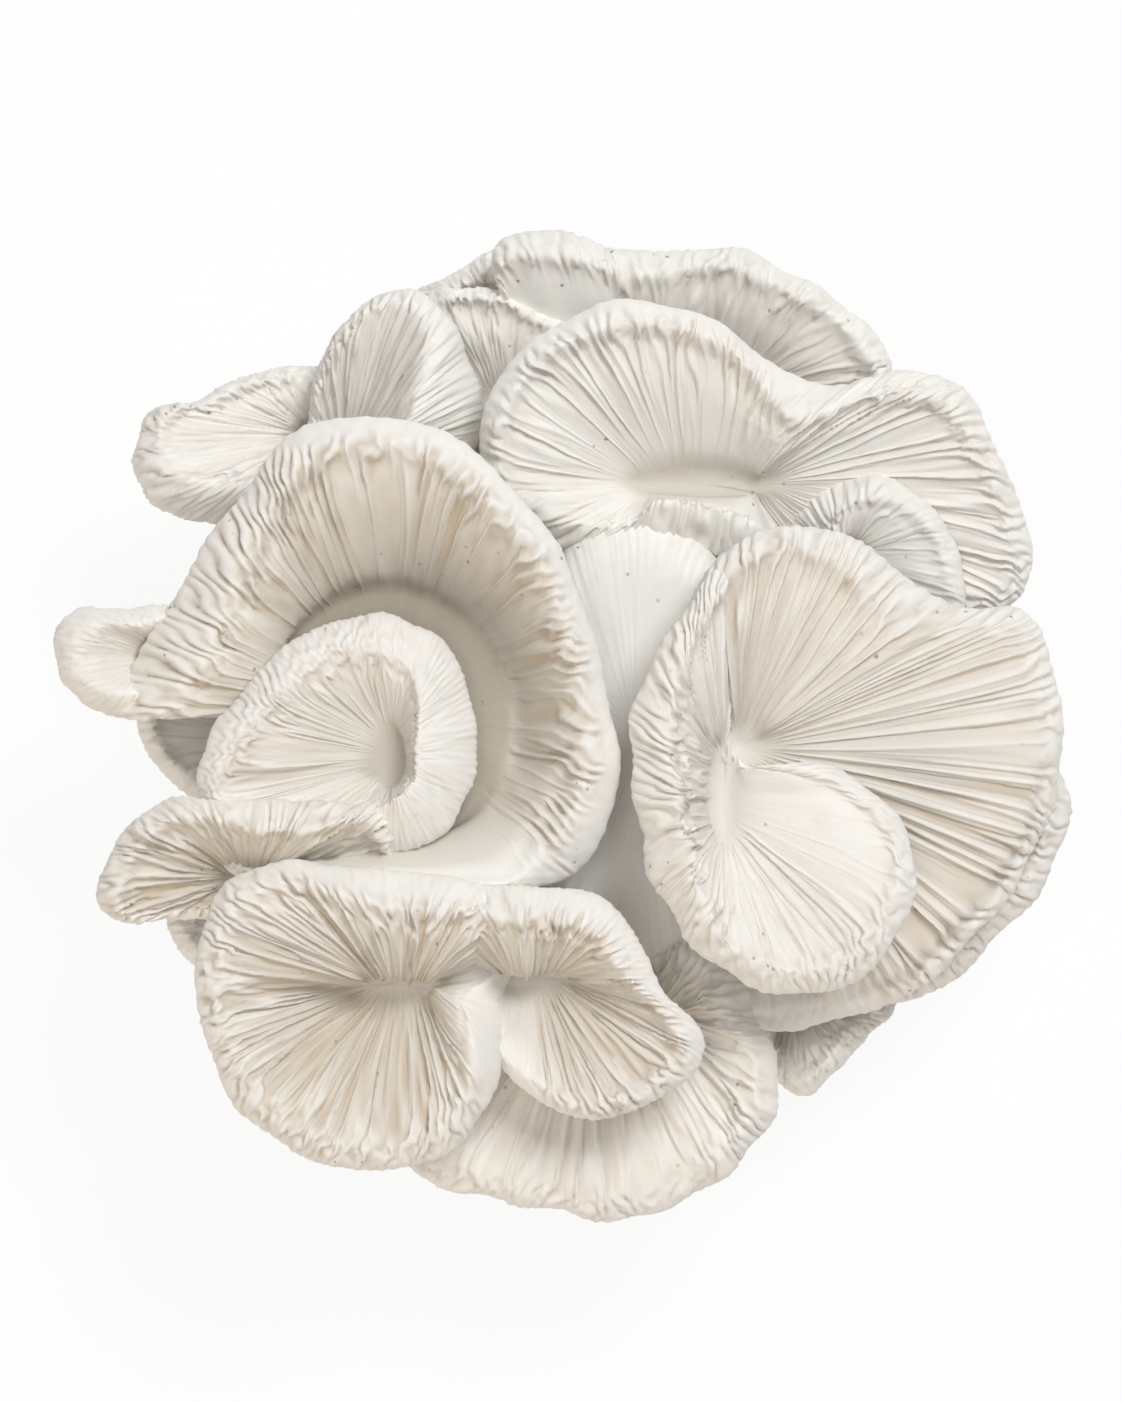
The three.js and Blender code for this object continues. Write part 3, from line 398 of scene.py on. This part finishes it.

# How much painted shade darkens the flesh inside each cap's throat
THROAT_SHADE_ELSEWHERE = 0.6
THROAT_SHADE = {
    "left_front_cap": 1.0,
    "left_scroll_cap": 0.75,
    "upper_right_cap": 0.7,
    "lower_left_cap": 0.45,
    "lower_middle_cap": 0.45,
    "right_scroll_cap": 0.55,
    "right_front_cap": 0.55,
}

# How strongly warm painted shade darkens the flesh between a cap's gills
GILL_SHADE_ELSEWHERE = 0.45
GILL_SHADE = {
    "left_front_cap": 1.15,
    "left_scroll_cap": 0.9,
    "left_lower_cap": 1.1,
    "left_ear_cap": 0.9,
    "lower_left_cap": 1.05,
    "lower_middle_cap": 1.05,
    "right_front_cap": 0.9,
    "right_scroll_cap": 0.55,
}

# How many ridges further round each ridge is at the lip than at the throat
SLANT = {
    "left_front_cap": 1.5,
    "left_scroll_cap": 4.0,
    "right_scroll_cap": -1.5,
    "left_upper_cap": 1.5,
}


def smooth(low, high, value):
    """0 below low, 1 above high and an even S between them."""
    share = np.clip((value - low) / (high - low), 0.0, 1.0)
    return share * share * (3.0 - 2.0 * share)


def spline_span(before, start, end, after, share, gap_in, gap, gap_out):
    """One stretch of a centripetal Catmull-Rom curve."""
    leave = (start - before) / gap_in - (end - before) / (gap_in + gap) + (end - start) / gap
    arrive = (end - start) / gap - (after - start) / (gap + gap_out) + (after - end) / gap_out
    leave, arrive = leave * gap, arrive * gap
    bend = -3.0 * start + 3.0 * end - 2.0 * leave - arrive
    twist = 2.0 * start - 2.0 * end + leave + arrive
    return start + leave * share + bend * share**2 + twist * share**3


def knot_gap(start, end):
    """The length in the curve's own measure of a stretch from start to end."""
    return np.maximum(np.linalg.norm(end - start, axis=-1, keepdims=True), 1e-4) ** 0.5


def closed_spline(points, places):
    """Points of a closed curve at places counted in its points."""
    points = np.asarray(points, float)
    count = len(points)
    whole = np.floor(places).astype(int)
    share = (places - whole)[:, None]
    before, start, end, after = (points[(whole + step) % count] for step in (-1, 0, 1, 2))
    gaps = knot_gap(before, start), knot_gap(start, end), knot_gap(end, after)
    return spline_span(before, start, end, after, share, *gaps)


def rib_rows(keys, rows):
    """Every rib at once: keys is (key, column, xyz); returns the rows and each row's place in keys."""
    first = 2.0 * keys[0] - keys[1]
    last = 2.0 * keys[-1] - keys[-2]
    keys = np.concatenate([first[None], keys, last[None]])
    lines, places = [], []
    for span, count in enumerate(rows):
        before, start, end, after = keys[span:span + 4]
        gaps = knot_gap(before, start), knot_gap(start, end), knot_gap(end, after)
        for step in range(count):
            share = step / count
            lines.append(spline_span(before, start, end, after, share, *gaps))
            places.append(span + share)
    lines.append(keys[-2])
    places.append(float(len(rows)))
    return np.array(lines), np.array(places)


def even_columns(lip, detail):
    """Places along a closed lip, evenly spaced in length, and the length itself."""
    steps = 40
    fine = np.linspace(0.0, len(lip), len(lip) * steps + 1)
    track = closed_spline([point[:3] for point in lip], fine)
    length = np.concatenate([[0.0], np.cumsum(np.linalg.norm(np.diff(track, axis=0), axis=1))])
    columns = int(round(length[-1] * detail))
    wanted = np.linspace(0.0, length[-1], columns, endpoint=False)
    return np.interp(wanted, length, fine), length[-1]


def rib_keys(cap, places):
    """The sixteen points that each rib runs through, for every column, and how far its lip rolls."""
    edge = closed_spline([point[:3] for point in cap["lip"]], places)
    curl = closed_spline([point[3:] for point in cap["lip"]], places)
    throat, half = np.array(cap["throat"], float), cap["half"]
    heading = np.arctan2(edge[:, 1] - throat[1], edge[:, 0] - throat[0])
    start = throat[:2] + np.stack([half[0] * np.cos(heading), half[1] * np.sin(heading)], axis=1)
    reach = np.linalg.norm(edge[:, :2] - start, axis=1)
    out = (edge[:, :2] - start) / reach[:, None]
    roll, lift = np.minimum(curl[:, 0], reach * 0.8), curl[:, 1]
    crest = reach - roll
    rise = edge[:, 2] - throat[2]
    drop = DROP_BASE + DROP_PER_ROLL * roll
    sag = np.minimum(0.0, rise - drop)
    flesh = np.minimum(STALK_FLESH, crest * 0.6)
    wall, flare = crest * WALL_REACH - np.maximum(lift, 0.0) * WALL_OVERHANG, crest * FLARE_REACH
    wall_height = throat[2] + rise * WALL_RISE + lift
    flare_height = throat[2] + rise * FLARE_RISE + lift * FLARE_LIFT
    brow = np.minimum(BROW_REACH + BROW_REACH_PER_ROLL * roll, (crest - flare) * 0.5)
    brow_drop = np.minimum((BROW_DROP + BROW_DROP_PER_ROLL * roll) * cap.get("brow", 1.0),
                           (edge[:, 2] - flare_height) * 0.6)

    def along(distance, height):
        height = np.broadcast_to(height, reach.shape)
        return np.column_stack([start + out * distance[:, None], height])

    foot = np.array(cap["foot"], float)
    stalk_top = throat - (0.0, 0.0, STALK_FLESH)
    axis = (foot - stalk_top) / np.linalg.norm(foot - stalk_top)
    circle = np.column_stack([np.cos(heading), np.sin(heading), np.zeros_like(heading)])

    def stalk_ring(share, radius):
        # The ring is turned from level to square with the stalk
        hinge = np.cross((0.0, 0.0, -1.0), axis)
        sine, cosine = np.linalg.norm(hinge), -axis[2]
        hinge = hinge / max(sine, 1e-9)
        turned = (circle * cosine + np.cross(hinge, circle) * sine
                  + hinge * (circle @ hinge)[:, None] * (1.0 - cosine))
        return stalk_top + (foot - stalk_top) * share + turned * radius

    level = np.zeros_like(reach)
    pole = np.broadcast_to(throat - (0.0, 0.0, cap["dip"]), start.shape[:1] + (3,))
    end = np.broadcast_to(foot, start.shape[:1] + (3,))
    keys = np.array([
        pole,
        # Inside: throat, wall, flare, brow and crest
        along(level, throat[2]),
        along(wall, wall_height),
        along(flare, flare_height),
        along(crest - brow, edge[:, 2] - brow_drop),
        along(crest, edge[:, 2]),
        # Round the lip: curl, edge and under the edge
        along(reach - roll * CURL_REACH, edge[:, 2] - drop * CURL_DROP),
        along(reach, edge[:, 2] - drop),
        along(reach - SHEET * 0.35, edge[:, 2] - drop - SHEET * 0.6),
        # Outside: under the crest, the flare and the wall, then the stalk down to its foot
        along(reach - np.maximum(roll, SHEET), edge[:, 2] - SHEET - drop * 0.35),
        along(flare + SHEET * 0.6, flare_height - SHEET * 1.3),
        along(wall + flesh * 0.9, wall_height - SHEET),
        along(flesh, throat[2] - STALK_FLESH * 0.6 + sag),
        stalk_ring(0.45, cap["foot_radius"] * 1.1),
        stalk_ring(1.0, cap["foot_radius"]),
        end,
    ])
    return keys, roll


def outward(surface):
    """Unit normals of a sheet whose columns close on themselves."""
    across = np.roll(surface, -1, axis=1) - np.roll(surface, 1, axis=1)
    down = np.gradient(surface, axis=0)
    normal = np.cross(across, down)
    return normal / np.maximum(np.linalg.norm(normal, axis=2, keepdims=True), 1e-9)


def waves(rng, turns, rows, count, slowest, fastest, slant):
    """Smooth wandering values over a sheet, about -1 to 1, that close round the lip."""
    total = np.zeros((len(rows), len(turns)))
    for _ in range(count):
        speed = rng.integers(slowest, fastest + 1)
        tilt = rng.normal(0.0, slant)
        total += np.sin(2.0 * np.pi * (speed * turns[None] + tilt * rows[:, None] + rng.random()))
    return total / math.sqrt(count)


def gill_relief(rng, turns, rows, length, pitch, slant, inner):
    """Ridge height over the sheet, 0 in a valley to 1 on a ridge, and how strong each ridge is."""
    count = 2 * int(round(length / pitch / 2.0))
    # How far the ridges stray, in ridges: broad swings, short bends and a fine tremble
    wander = (0.9 * waves(rng, turns, rows * 0.05, 5, 2, 8, 1.0)
              + 0.35 * waves(rng, turns, rows * 0.12, 8, 14, 40, 2.0)
              + 0.05 * waves(rng, turns, rows * 0.5, 8, 50, 110, 3.0))
    lean = slant * smooth(KEY_FLARE, KEY_EDGE, rows[:, None])
    phase = count * turns[None] + wander + lean
    number = np.rint(phase).astype(int) % count
    strength = rng.uniform(WEAKEST_GILL, STRONGEST_GILL, count)
    # Every other ridge starts near the throat, the rest between the wall and the brow
    begins = rng.uniform(KEY_WALL - 0.3, KEY_BROW, count)
    begins[::2] = rng.uniform(KEY_POLE + 0.5, KEY_WALL, (count + 1) // 2)
    swing = np.abs(np.sin(np.pi * phase))
    between = np.clip(1.0 - np.abs(np.cos(np.pi * phase)) * 1.5, 0.0, 1.0)
    # Narrow fins with a low one between on the face, broad ropes over the lip
    fin = np.maximum((1.0 - swing) ** 1.05, 0.35 * between)
    rope = np.clip(1.0 - swing ** 2, 0.0, 1.0) ** 0.6
    round_off = smooth(KEY_BROW - 0.2, KEY_CURL, rows[:, None])
    relief = fin * (1.0 - round_off) + rope * round_off
    grown = smooth(0.0, 0.9, rows[:, None] - begins[number])
    height = np.interp(
        rows,
        (0.5, KEY_THROAT, KEY_WALL, KEY_FLARE, KEY_BROW, KEY_CREST, KEY_CURL, KEY_EDGE, KEY_UNDER_EDGE,
         KEY_UNDER_CREST),
        (0.0, inner * 0.3, inner, (inner + 1.0) * 0.5, 1.05, 0.95, 0.7, 0.35, 0.1, 0.0),
    )
    patchy = np.clip(1.0 + 0.3 * waves(rng, turns, rows * 0.3, 10, 20, 70, 1.5), 0.3, 1.5)
    return relief * grown, height[:, None] * strength[number] * patchy


def gill_presence(name, places, rows):
    """1 where the sheet carries gills, 0 where it is bare."""
    face, lip = np.ones_like(places), np.ones_like(places)
    for first, last, on_face, on_lip in BARE.get(name, ()):
        inside = smooth(first - 1.2, first + 0.4, places) * (1.0 - smooth(last - 0.4, last + 1.2, places))
        face = face + (on_face - face) * inside
        lip = lip + (on_lip - lip) * inside
    share = smooth(KEY_FLARE + 0.6, KEY_CREST - 0.2, rows[:, None])
    return face[None] * (1.0 - share) + lip[None] * share


def span_share(spans, places):
    """1 within the given spans of lip points, 0 outside them."""
    share = np.zeros_like(places)
    for first, last in spans:
        inside = smooth(first - 1.0, first, places) * (1.0 - smooth(last, last + 1.0, places))
        share = np.maximum(share, inside)
    return share


def sheet_object(name, surface, marks):
    """A closed mesh lofted over a sheet of points in millimetres; marks are values at its points."""
    row_count, column_count = surface.shape[:2]
    bpy.ops.object.select_all(action="DESELECT")
    bpy.ops.mesh.primitive_grid_add(x_subdivisions=column_count, y_subdivisions=row_count - 1, size=1.0)
    piece = bpy.context.object
    piece.name = name
    piece.data.name = name
    flat = np.empty(len(piece.data.vertices) * 3)
    piece.data.vertices.foreach_get("co", flat)
    flat = flat.reshape(-1, 3)
    column = np.rint((flat[:, 0] + 0.5) * column_count).astype(int) % column_count
    row = np.rint((flat[:, 1] + 0.5) * (row_count - 1)).astype(int)
    piece.data.vertices.foreach_set("co", (surface[row, column] * MM).ravel())
    for mark, values in marks.items():
        layer = piece.data.attributes.new(mark, "FLOAT", "POINT")
        layer.data.foreach_set("value", values[row, column].astype(np.float32))
    bpy.ops.object.mode_set(mode="EDIT")
    bpy.ops.mesh.select_all(action="SELECT")
    bpy.ops.mesh.remove_doubles(threshold=1e-6)
    bpy.ops.mesh.normals_make_consistent(inside=False)
    bpy.ops.object.mode_set(mode="OBJECT")
    bpy.ops.object.shade_smooth()
    return piece


def mushroom_cap(name, cap, number):
    """One cap: its plain sheet, shifted along its normals by gills, folds, knobs and outside lines."""
    rng = np.random.default_rng(number + CAP_SEED)
    places, length = even_columns(cap["lip"], DETAIL.get(name, DETAIL_BEHIND))
    coarse = 1.0 if name in DETAIL else ROWS_BEHIND
    keys, roll = rib_keys(cap, places)
    surface, rows = rib_rows(keys, [max(1, round(count * coarse)) for count in ROWS])
    turns = np.arange(len(places)) / len(places)

    normal = outward(surface)
    # The two ends of the sheet stay still, so that each closes on a point
    normal[(rows < 0.3) | (rows > KEY_END - 0.5)] = 0.0
    # A lip whose points run the other way round has its normals turned back
    if normal[np.abs(rows - KEY_CREST).argmin(), :, 2].mean() < 0.0:
        normal = -normal

    relief, height = gill_relief(rng, turns, rows, length, WIDE_PITCH.get(name, GILL_PITCH),
                                 SLANT.get(name, 0.0), GILLS_INSIDE.get(name, GILLS_INSIDE_ELSEWHERE))
    past_crest = roll[None] * np.clip((rows[:, None] - KEY_CREST) / (KEY_EDGE - KEY_CREST), 0.0, 1.0)
    smooth_rim = span_share(SMOOTH_RIM.get(name, ()), places)
    fade_from = (np.maximum(0.8, roll - BARE_LIP) * (1.0 - smooth_rim) + 0.6 * smooth_rim)[None]
    presence = gill_presence(name, places, rows)
    gills = height * presence * (1.0 - smooth(fade_from, fade_from + GILL_WRAP, past_crest))
    folds = np.interp(rows, (KEY_THROAT, KEY_FLARE, KEY_CREST, KEY_UNDER_CREST, KEY_UNDER_WALL),
                      (0.0, FOLD_HEIGHT * 0.5, FOLD_HEIGHT, FOLD_HEIGHT, 0.0))[:, None]
    folds = folds * waves(rng, turns, rows * 0.05, 5, 5, 16, 1.0) * min(1.0, length / FULL_FOLD_LIP)
    knobs = np.interp(rows, (KEY_BROW, KEY_CREST, KEY_EDGE, KEY_UNDER_CREST),
                      (0.0, KNOB_HEIGHT, KNOB_HEIGHT, 0.0))[:, None]
    knobs = knobs * waves(rng, turns, rows * 0.4, 14, 30, 120, 2.0)
    outside = smooth(KEY_UNDER_CREST, KEY_UNDER_FLARE, rows)[:, None]
    stria_phase = round(length / STRIA_PITCH) * turns[None] + 0.5 * waves(rng, turns, rows, 6, 3, 20, 0.4)
    striae = outside * STRIA_HEIGHT * np.sin(2.0 * np.pi * stria_phase)
    shift = GILL_HEIGHT * gills * (relief - 0.5) + folds + striae + knobs
    surface = surface + normal * shift[..., None]

    # Painted shade: the flesh darkens towards the throat and down the outside of the stalk, and warm shade
    # is painted between the gills
    shade = THROAT_SHADE.get(name, THROAT_SHADE_ELSEWHERE)
    valley_shade_strength = GILL_SHADE.get(name, GILL_SHADE_ELSEWHERE)
    depth_shade = np.interp(
        rows,
        (KEY_POLE, KEY_THROAT, KEY_WALL, KEY_FLARE, KEY_BROW, KEY_CREST, KEY_EDGE, KEY_UNDER_FLARE,
         KEY_STALK),
        (shade, shade, max(shade, valley_shade_strength) * 0.6, valley_shade_strength * 0.5, valley_shade_strength * 0.3, 0.0, 0.0, 0.3, 0.6),
    )
    marks = {
        "gill_valley_shade": valley_shade_strength * np.clip(gills, 0.0, 1.0) * (1.0 - relief),
        "depth_shade": np.broadcast_to(depth_shade[:, None], shift.shape),
    }
    return sheet_object(name + "_flesh", surface, marks)


def core_stem():
    """The joined flesh that shows between the caps: a long low mound with creases."""
    angle = np.linspace(0.0, 2.0 * np.pi, 260, endpoint=False)
    profile = np.array([
        (0.0, 0.12), (0.5, 0.12), (0.85, 0.14), (1.0, 0.25), (1.0, 0.5), (0.985, 0.8),
        (0.93, 0.92), (0.8, 0.97), (0.45, 0.99), (0.0, 1.0),
    ])
    keys = np.array([np.column_stack([
        CORE_CENTRE[0] + CORE_HALF[0] * across * np.cos(angle),
        CORE_CENTRE[1] + CORE_HALF[1] * across * np.sin(angle),
        CORE_HEIGHT * up + CORE_TILT * CORE_HALF[1] * across * np.sin(angle) * up,
    ]) for across, up in profile])
    surface, rows = rib_rows(keys, (2, 2, 3, 8, 10, 8, 12, 20, 8))
    rng = np.random.default_rng(CORE_SEED)
    turns = angle / (2.0 * np.pi)
    creases = CORE_CREASE * waves(rng, turns, rows * 0.25, 12, 20, 70, 1.0)
    ridge_phase = CORE_RIDGES * turns[None] + waves(rng, turns, rows * 0.1, 5, 2, 9, 0.5)
    ridges = 1.0 - np.abs(np.sin(np.pi * ridge_phase))
    near_top = smooth(5.5, 6.3, rows) * (1.0 - smooth(7.0, 7.6, rows))
    creases = creases + CORE_RIDGE_HEIGHT * ridges * near_top[:, None]
    creases *= (smooth(2.0, 4.0, rows) * (1.0 - smooth(8.2, 8.9, rows)))[:, None]
    middle = np.array([CORE_CENTRE[0], CORE_CENTRE[1], CORE_HEIGHT * 0.4])
    away = surface - middle
    away = away / np.maximum(np.linalg.norm(away, axis=2, keepdims=True), 1e-6)
    surface = surface + away * creases[..., None]
    # No painted gill shade, and a little painted shade all over
    marks = {
        "gill_valley_shade": np.zeros(surface.shape[:2]),
        "depth_shade": np.full(surface.shape[:2], 0.15),
    }
    return sheet_object("core_stem_flesh", surface, marks)


def base_clump():
    """The lumpy base: a dome over a flat cut face."""
    angle = np.linspace(0.0, 2.0 * np.pi, 240, endpoint=False)
    profile = np.array([
        (0.0, 0.0), (0.4, 0.0), (0.76, 0.0), (0.8, 0.012), (0.94, 0.14), (1.0, 0.36),
        (0.86, 0.64), (0.55, 0.88), (0.25, 0.985), (0.0, 1.0),
    ])
    keys = np.array([np.column_stack([
        CLUMP_RADIUS * across * np.cos(angle),
        CLUMP_RADIUS * across * np.sin(angle),
        np.full_like(angle, CLUMP_HEIGHT * up),
    ]) for across, up in profile])
    surface, rows = rib_rows(keys, (2, 3, 2, 6, 12, 14, 14, 10, 4))
    surface[..., 2] = np.maximum(surface[..., 2], 0.0)
    swell = 1.0 + CLUMP_LOBES * (np.sin(3.0 * angle + 0.6) + 0.5 * np.sin(7.0 * angle))
    surface[..., :2] *= swell[None, :, None]
    rng = np.random.default_rng(CLUMP_SEED)
    turns = angle / (2.0 * np.pi)
    lumps = waves(rng, turns, rows * 0.3, 10, 4, 14, 1.0) * smooth(3.2, 4.5, rows)[:, None]
    lumps *= (1.0 - smooth(8.2, 8.9, rows))[:, None]
    centre_line = surface * (1.0, 1.0, 0.4)
    away = centre_line / np.maximum(np.linalg.norm(centre_line, axis=2, keepdims=True), 1e-6)
    surface = surface + away * lumps[..., None] * CLUMP_LUMP
    # No painted gill shade, and strong painted shade all over, as the base lies under the caps
    marks = {
        "gill_valley_shade": np.zeros(surface.shape[:2]),
        "depth_shade": np.full(surface.shape[:2], 0.7),
    }
    return sheet_object("base_clump_flesh", surface, marks)


class Value:
    """A shader socket that takes part in ordinary sums."""

    def __init__(self, tree, socket):
        self.tree = tree
        self.socket = socket

    def math(self, operation, first, second):
        return add_node(self.tree, "ShaderNodeMath", {"operation": operation}, {0: first, 1: second})

    def __add__(self, other):
        return self.math("ADD", self, other)

    def __sub__(self, other):
        return self.math("SUBTRACT", self, other)

    def __rsub__(self, other):
        return self.math("SUBTRACT", other, self)

    def __mul__(self, other):
        return self.math("MULTIPLY", self, other)

    def __pow__(self, other):
        return self.math("POWER", self, other)

    __radd__ = __add__
    __rmul__ = __mul__

    def between(self, low, high):
        """0 at low, 1 at high, held at both ends."""
        settings = {"interpolation_type": "SMOOTHSTEP"}
        return add_node(self.tree, "ShaderNodeMapRange", settings, {0: self, 1: low, 2: high})


def connect(tree, slot, value):
    """A link from a Value, or a constant on the socket itself."""
    if isinstance(value, Value):
        tree.links.new(value.socket, slot)
    else:
        slot.default_value = value


def add_node(tree, kind, settings, sockets, output=0):
    """A node with its settings made first, then its sockets, by name or number."""
    node = tree.nodes.new(kind)
    for setting, value in settings.items():
        setattr(node, setting, value)
    for slot, value in sockets.items():
        connect(tree, node.inputs[slot], value)
    return Value(tree, node.outputs[output])


class Finish:
    """One material and its nodes."""

    def __init__(self, name):
        self.material = bpy.data.materials.new(name)
        self.material.use_nodes = True
        self.tree = self.material.node_tree
        self.shader = self.tree.nodes["Principled BSDF"]

    def node(self, kind, settings, sockets, output=0):
        return add_node(self.tree, kind, settings, sockets, output)

    def mark(self, name):
        """A value that the mesh carries at its points."""
        return self.node("ShaderNodeAttribute", {"attribute_name": name}, {}, 2)

    def noise(self, place, scale, detail, roughness=0.5):
        sockets = {"Vector": place, "Scale": scale, "Detail": detail, "Roughness": roughness}
        return self.node("ShaderNodeTexNoise", {}, sockets)

    def blend(self, share, first, second):
        return self.node("ShaderNodeMix", {"data_type": "RGBA"}, {0: share, 6: first, 7: second}, 2)

    def surface(self, sockets):
        for slot, value in sockets.items():
            connect(self.tree, self.shader.inputs[slot], value)


def mushroom_flesh(name, ridge_top, plain, shade_and_patch, shaded_tone):
    """Ivory flesh: pale ridge tops, painted warm shade between the gills, painted shade in the throats,
    faint clouds, fibres and a few small brown pits.
    """
    finish = Finish(name)
    place = finish.node("ShaderNodeTexCoord", {}, {}, 3)
    valley_shade_share = finish.mark("gill_valley_shade")
    depth_shade = finish.mark("depth_shade")

    clouds = finish.noise(place, 38.0, 3.0)
    grain = finish.noise(place, 900.0, 3.0, 0.6)
    patches = finish.noise(place, 130.0, 4.0, 0.6)
    pits = finish.node("ShaderNodeTexVoronoi", {}, {"Vector": place, "Scale": 260.0})
    pit_choice = finish.noise(place, 60.0, 2.0)
    pit = (1.0 - pits.between(0.05, 0.13)) * pit_choice.between(0.52, 0.62)

    # Painted shade: the flesh turns darker and warmer towards the throats, down the stalks and between the
    # gills; the clouds and patches are the flesh's own uneven tone
    colour = finish.blend(depth_shade * 0.85 + clouds.between(0.35, 0.75) * 0.2, ridge_top, plain)
    colour = finish.blend(depth_shade.between(0.3, 1.0) * 0.9, colour, shaded_tone)
    colour = finish.blend(valley_shade_share ** 1.1 * 0.8, colour, shade_and_patch)
    colour = finish.blend(patches.between(0.5, 0.8) * 0.14, colour, shade_and_patch)
    colour = finish.blend(pit * 0.75, colour, PIT_BROWN)

    relief = grain * 0.35 + patches * 0.65 - pit * 1.2
    bump = finish.node("ShaderNodeBump", {}, {"Strength": 0.35, "Distance": 0.0004, "Height": relief})
    finish.surface({
        "Base Color": colour,
        "Roughness": 0.62 + grain * 0.16,
        "Normal": bump,
        "Subsurface Weight": 0.12,
        "Subsurface Radius": (0.004, 0.003, 0.002),
        "Specular IOR Level": 0.35,
    })
    return finish.material


def area_light(name, place, size, power, colour):
    """A square panel that faces the cluster; metres and watts."""
    target = Vector((0.0, 0.0, 0.05))
    lamp = bpy.data.lights.new(name, "AREA")
    lamp.shape = "SQUARE"
    lamp.size = size
    lamp.energy = power
    lamp.color = colour
    holder = bpy.data.objects.new(name, lamp)
    bpy.context.scene.collection.objects.link(holder)
    holder.location = place
    holder.rotation_euler = (target - Vector(place)).to_track_quat("-Z", "Y").to_euler()


def pale_floor():
    """Pale paper that keeps the cluster's shadow but shows mostly as plain white."""
    finish = Finish("pale_floor")
    finish.surface({"Base Color": (0.93, 0.93, 0.93, 1.0), "Roughness": 0.95})
    lit = Value(finish.tree, finish.shader.outputs[0])
    white = finish.node("ShaderNodeEmission", {}, {"Color": (1.0, 1.0, 1.0, 1.0), "Strength": 1.0})
    camera_ray, glossy_ray, transmission_ray = (
        finish.node("ShaderNodeLightPath", {}, {}, output) for output in (0, 3, 6)
    )
    seen = (camera_ray + glossy_ray + transmission_ray) * 0.9
    mixed = finish.node("ShaderNodeMixShader", {}, {0: seen, 1: lit, 2: white})
    connect(finish.tree, finish.tree.nodes["Material Output"].inputs["Surface"], mixed)
    return finish.material


def studio():
    """Pale floor, a broad soft light from beyond the back, a weaker one overhead and a warm low fill."""
    bpy.ops.object.select_all(action="DESELECT")
    bpy.ops.mesh.primitive_plane_add(size=6.0, location=(0.0, 0.0, -0.0006))
    floor = bpy.context.object
    floor.name = "floor"
    floor.data.materials.append(pale_floor())

    area_light("sky_panel", (0.62, 0.92, 1.9), size=0.75, power=28.5, colour=(0.97, 0.985, 1.0))
    area_light("overhead_panel", (-0.3, -0.05, 2.2), size=0.6, power=7.0, colour=(1.0, 0.985, 0.96))
    area_light("warm_fill", (-0.7, -1.2, 0.6), size=0.9, power=6.0, colour=(1.0, 0.84, 0.66))

    world = bpy.data.worlds.new("studio_air")
    bpy.context.scene.world = world
    world.use_nodes = True
    background = world.node_tree.nodes["Background"]
    background.inputs["Color"].default_value = (1.0, 0.95, 0.885, 1.0)
    background.inputs["Strength"].default_value = 0.3


def camera_above():
    """Looks straight down the growth axis, from far off, with the cluster filling the frame."""
    view_height = 0.2496
    middle_x, middle_y, middle_z = -0.0004, 0.0044, 0.06
    lens = bpy.data.cameras.new("camera")
    lens.lens = 250.0
    lens.sensor_width = 36.0
    lens.clip_end = 20.0
    holder = bpy.data.objects.new("camera", lens)
    bpy.context.scene.collection.objects.link(holder)
    holder.location = (middle_x, middle_y, middle_z + view_height * lens.lens / lens.sensor_width)
    bpy.context.scene.camera = holder


studio()
camera_above()

cap_flesh = mushroom_flesh("cap_flesh", IVORY, CREAM, WARM_SHADE_AND_PATCH, SHADED_FLESH)
cut_flesh = mushroom_flesh("cut_flesh", CREAM, CUT_FLESH, WARM_SHADE_AND_PATCH, SHADED_FLESH)

for number, (name, cap) in enumerate(CAPS.items()):
    piece = mushroom_cap(name, cap, number)
    piece.data.materials.append(cap_flesh)
    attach(piece, "root")
    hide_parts(name)

clump = base_clump()
clump.data.materials.append(cut_flesh)
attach(clump, "root")
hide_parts("base_clump")

core = core_stem()
core.data.materials.append(cap_flesh)
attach(core, "root")
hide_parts("core_stem")

bpy.context.scene.view_settings.view_transform = "Standard"
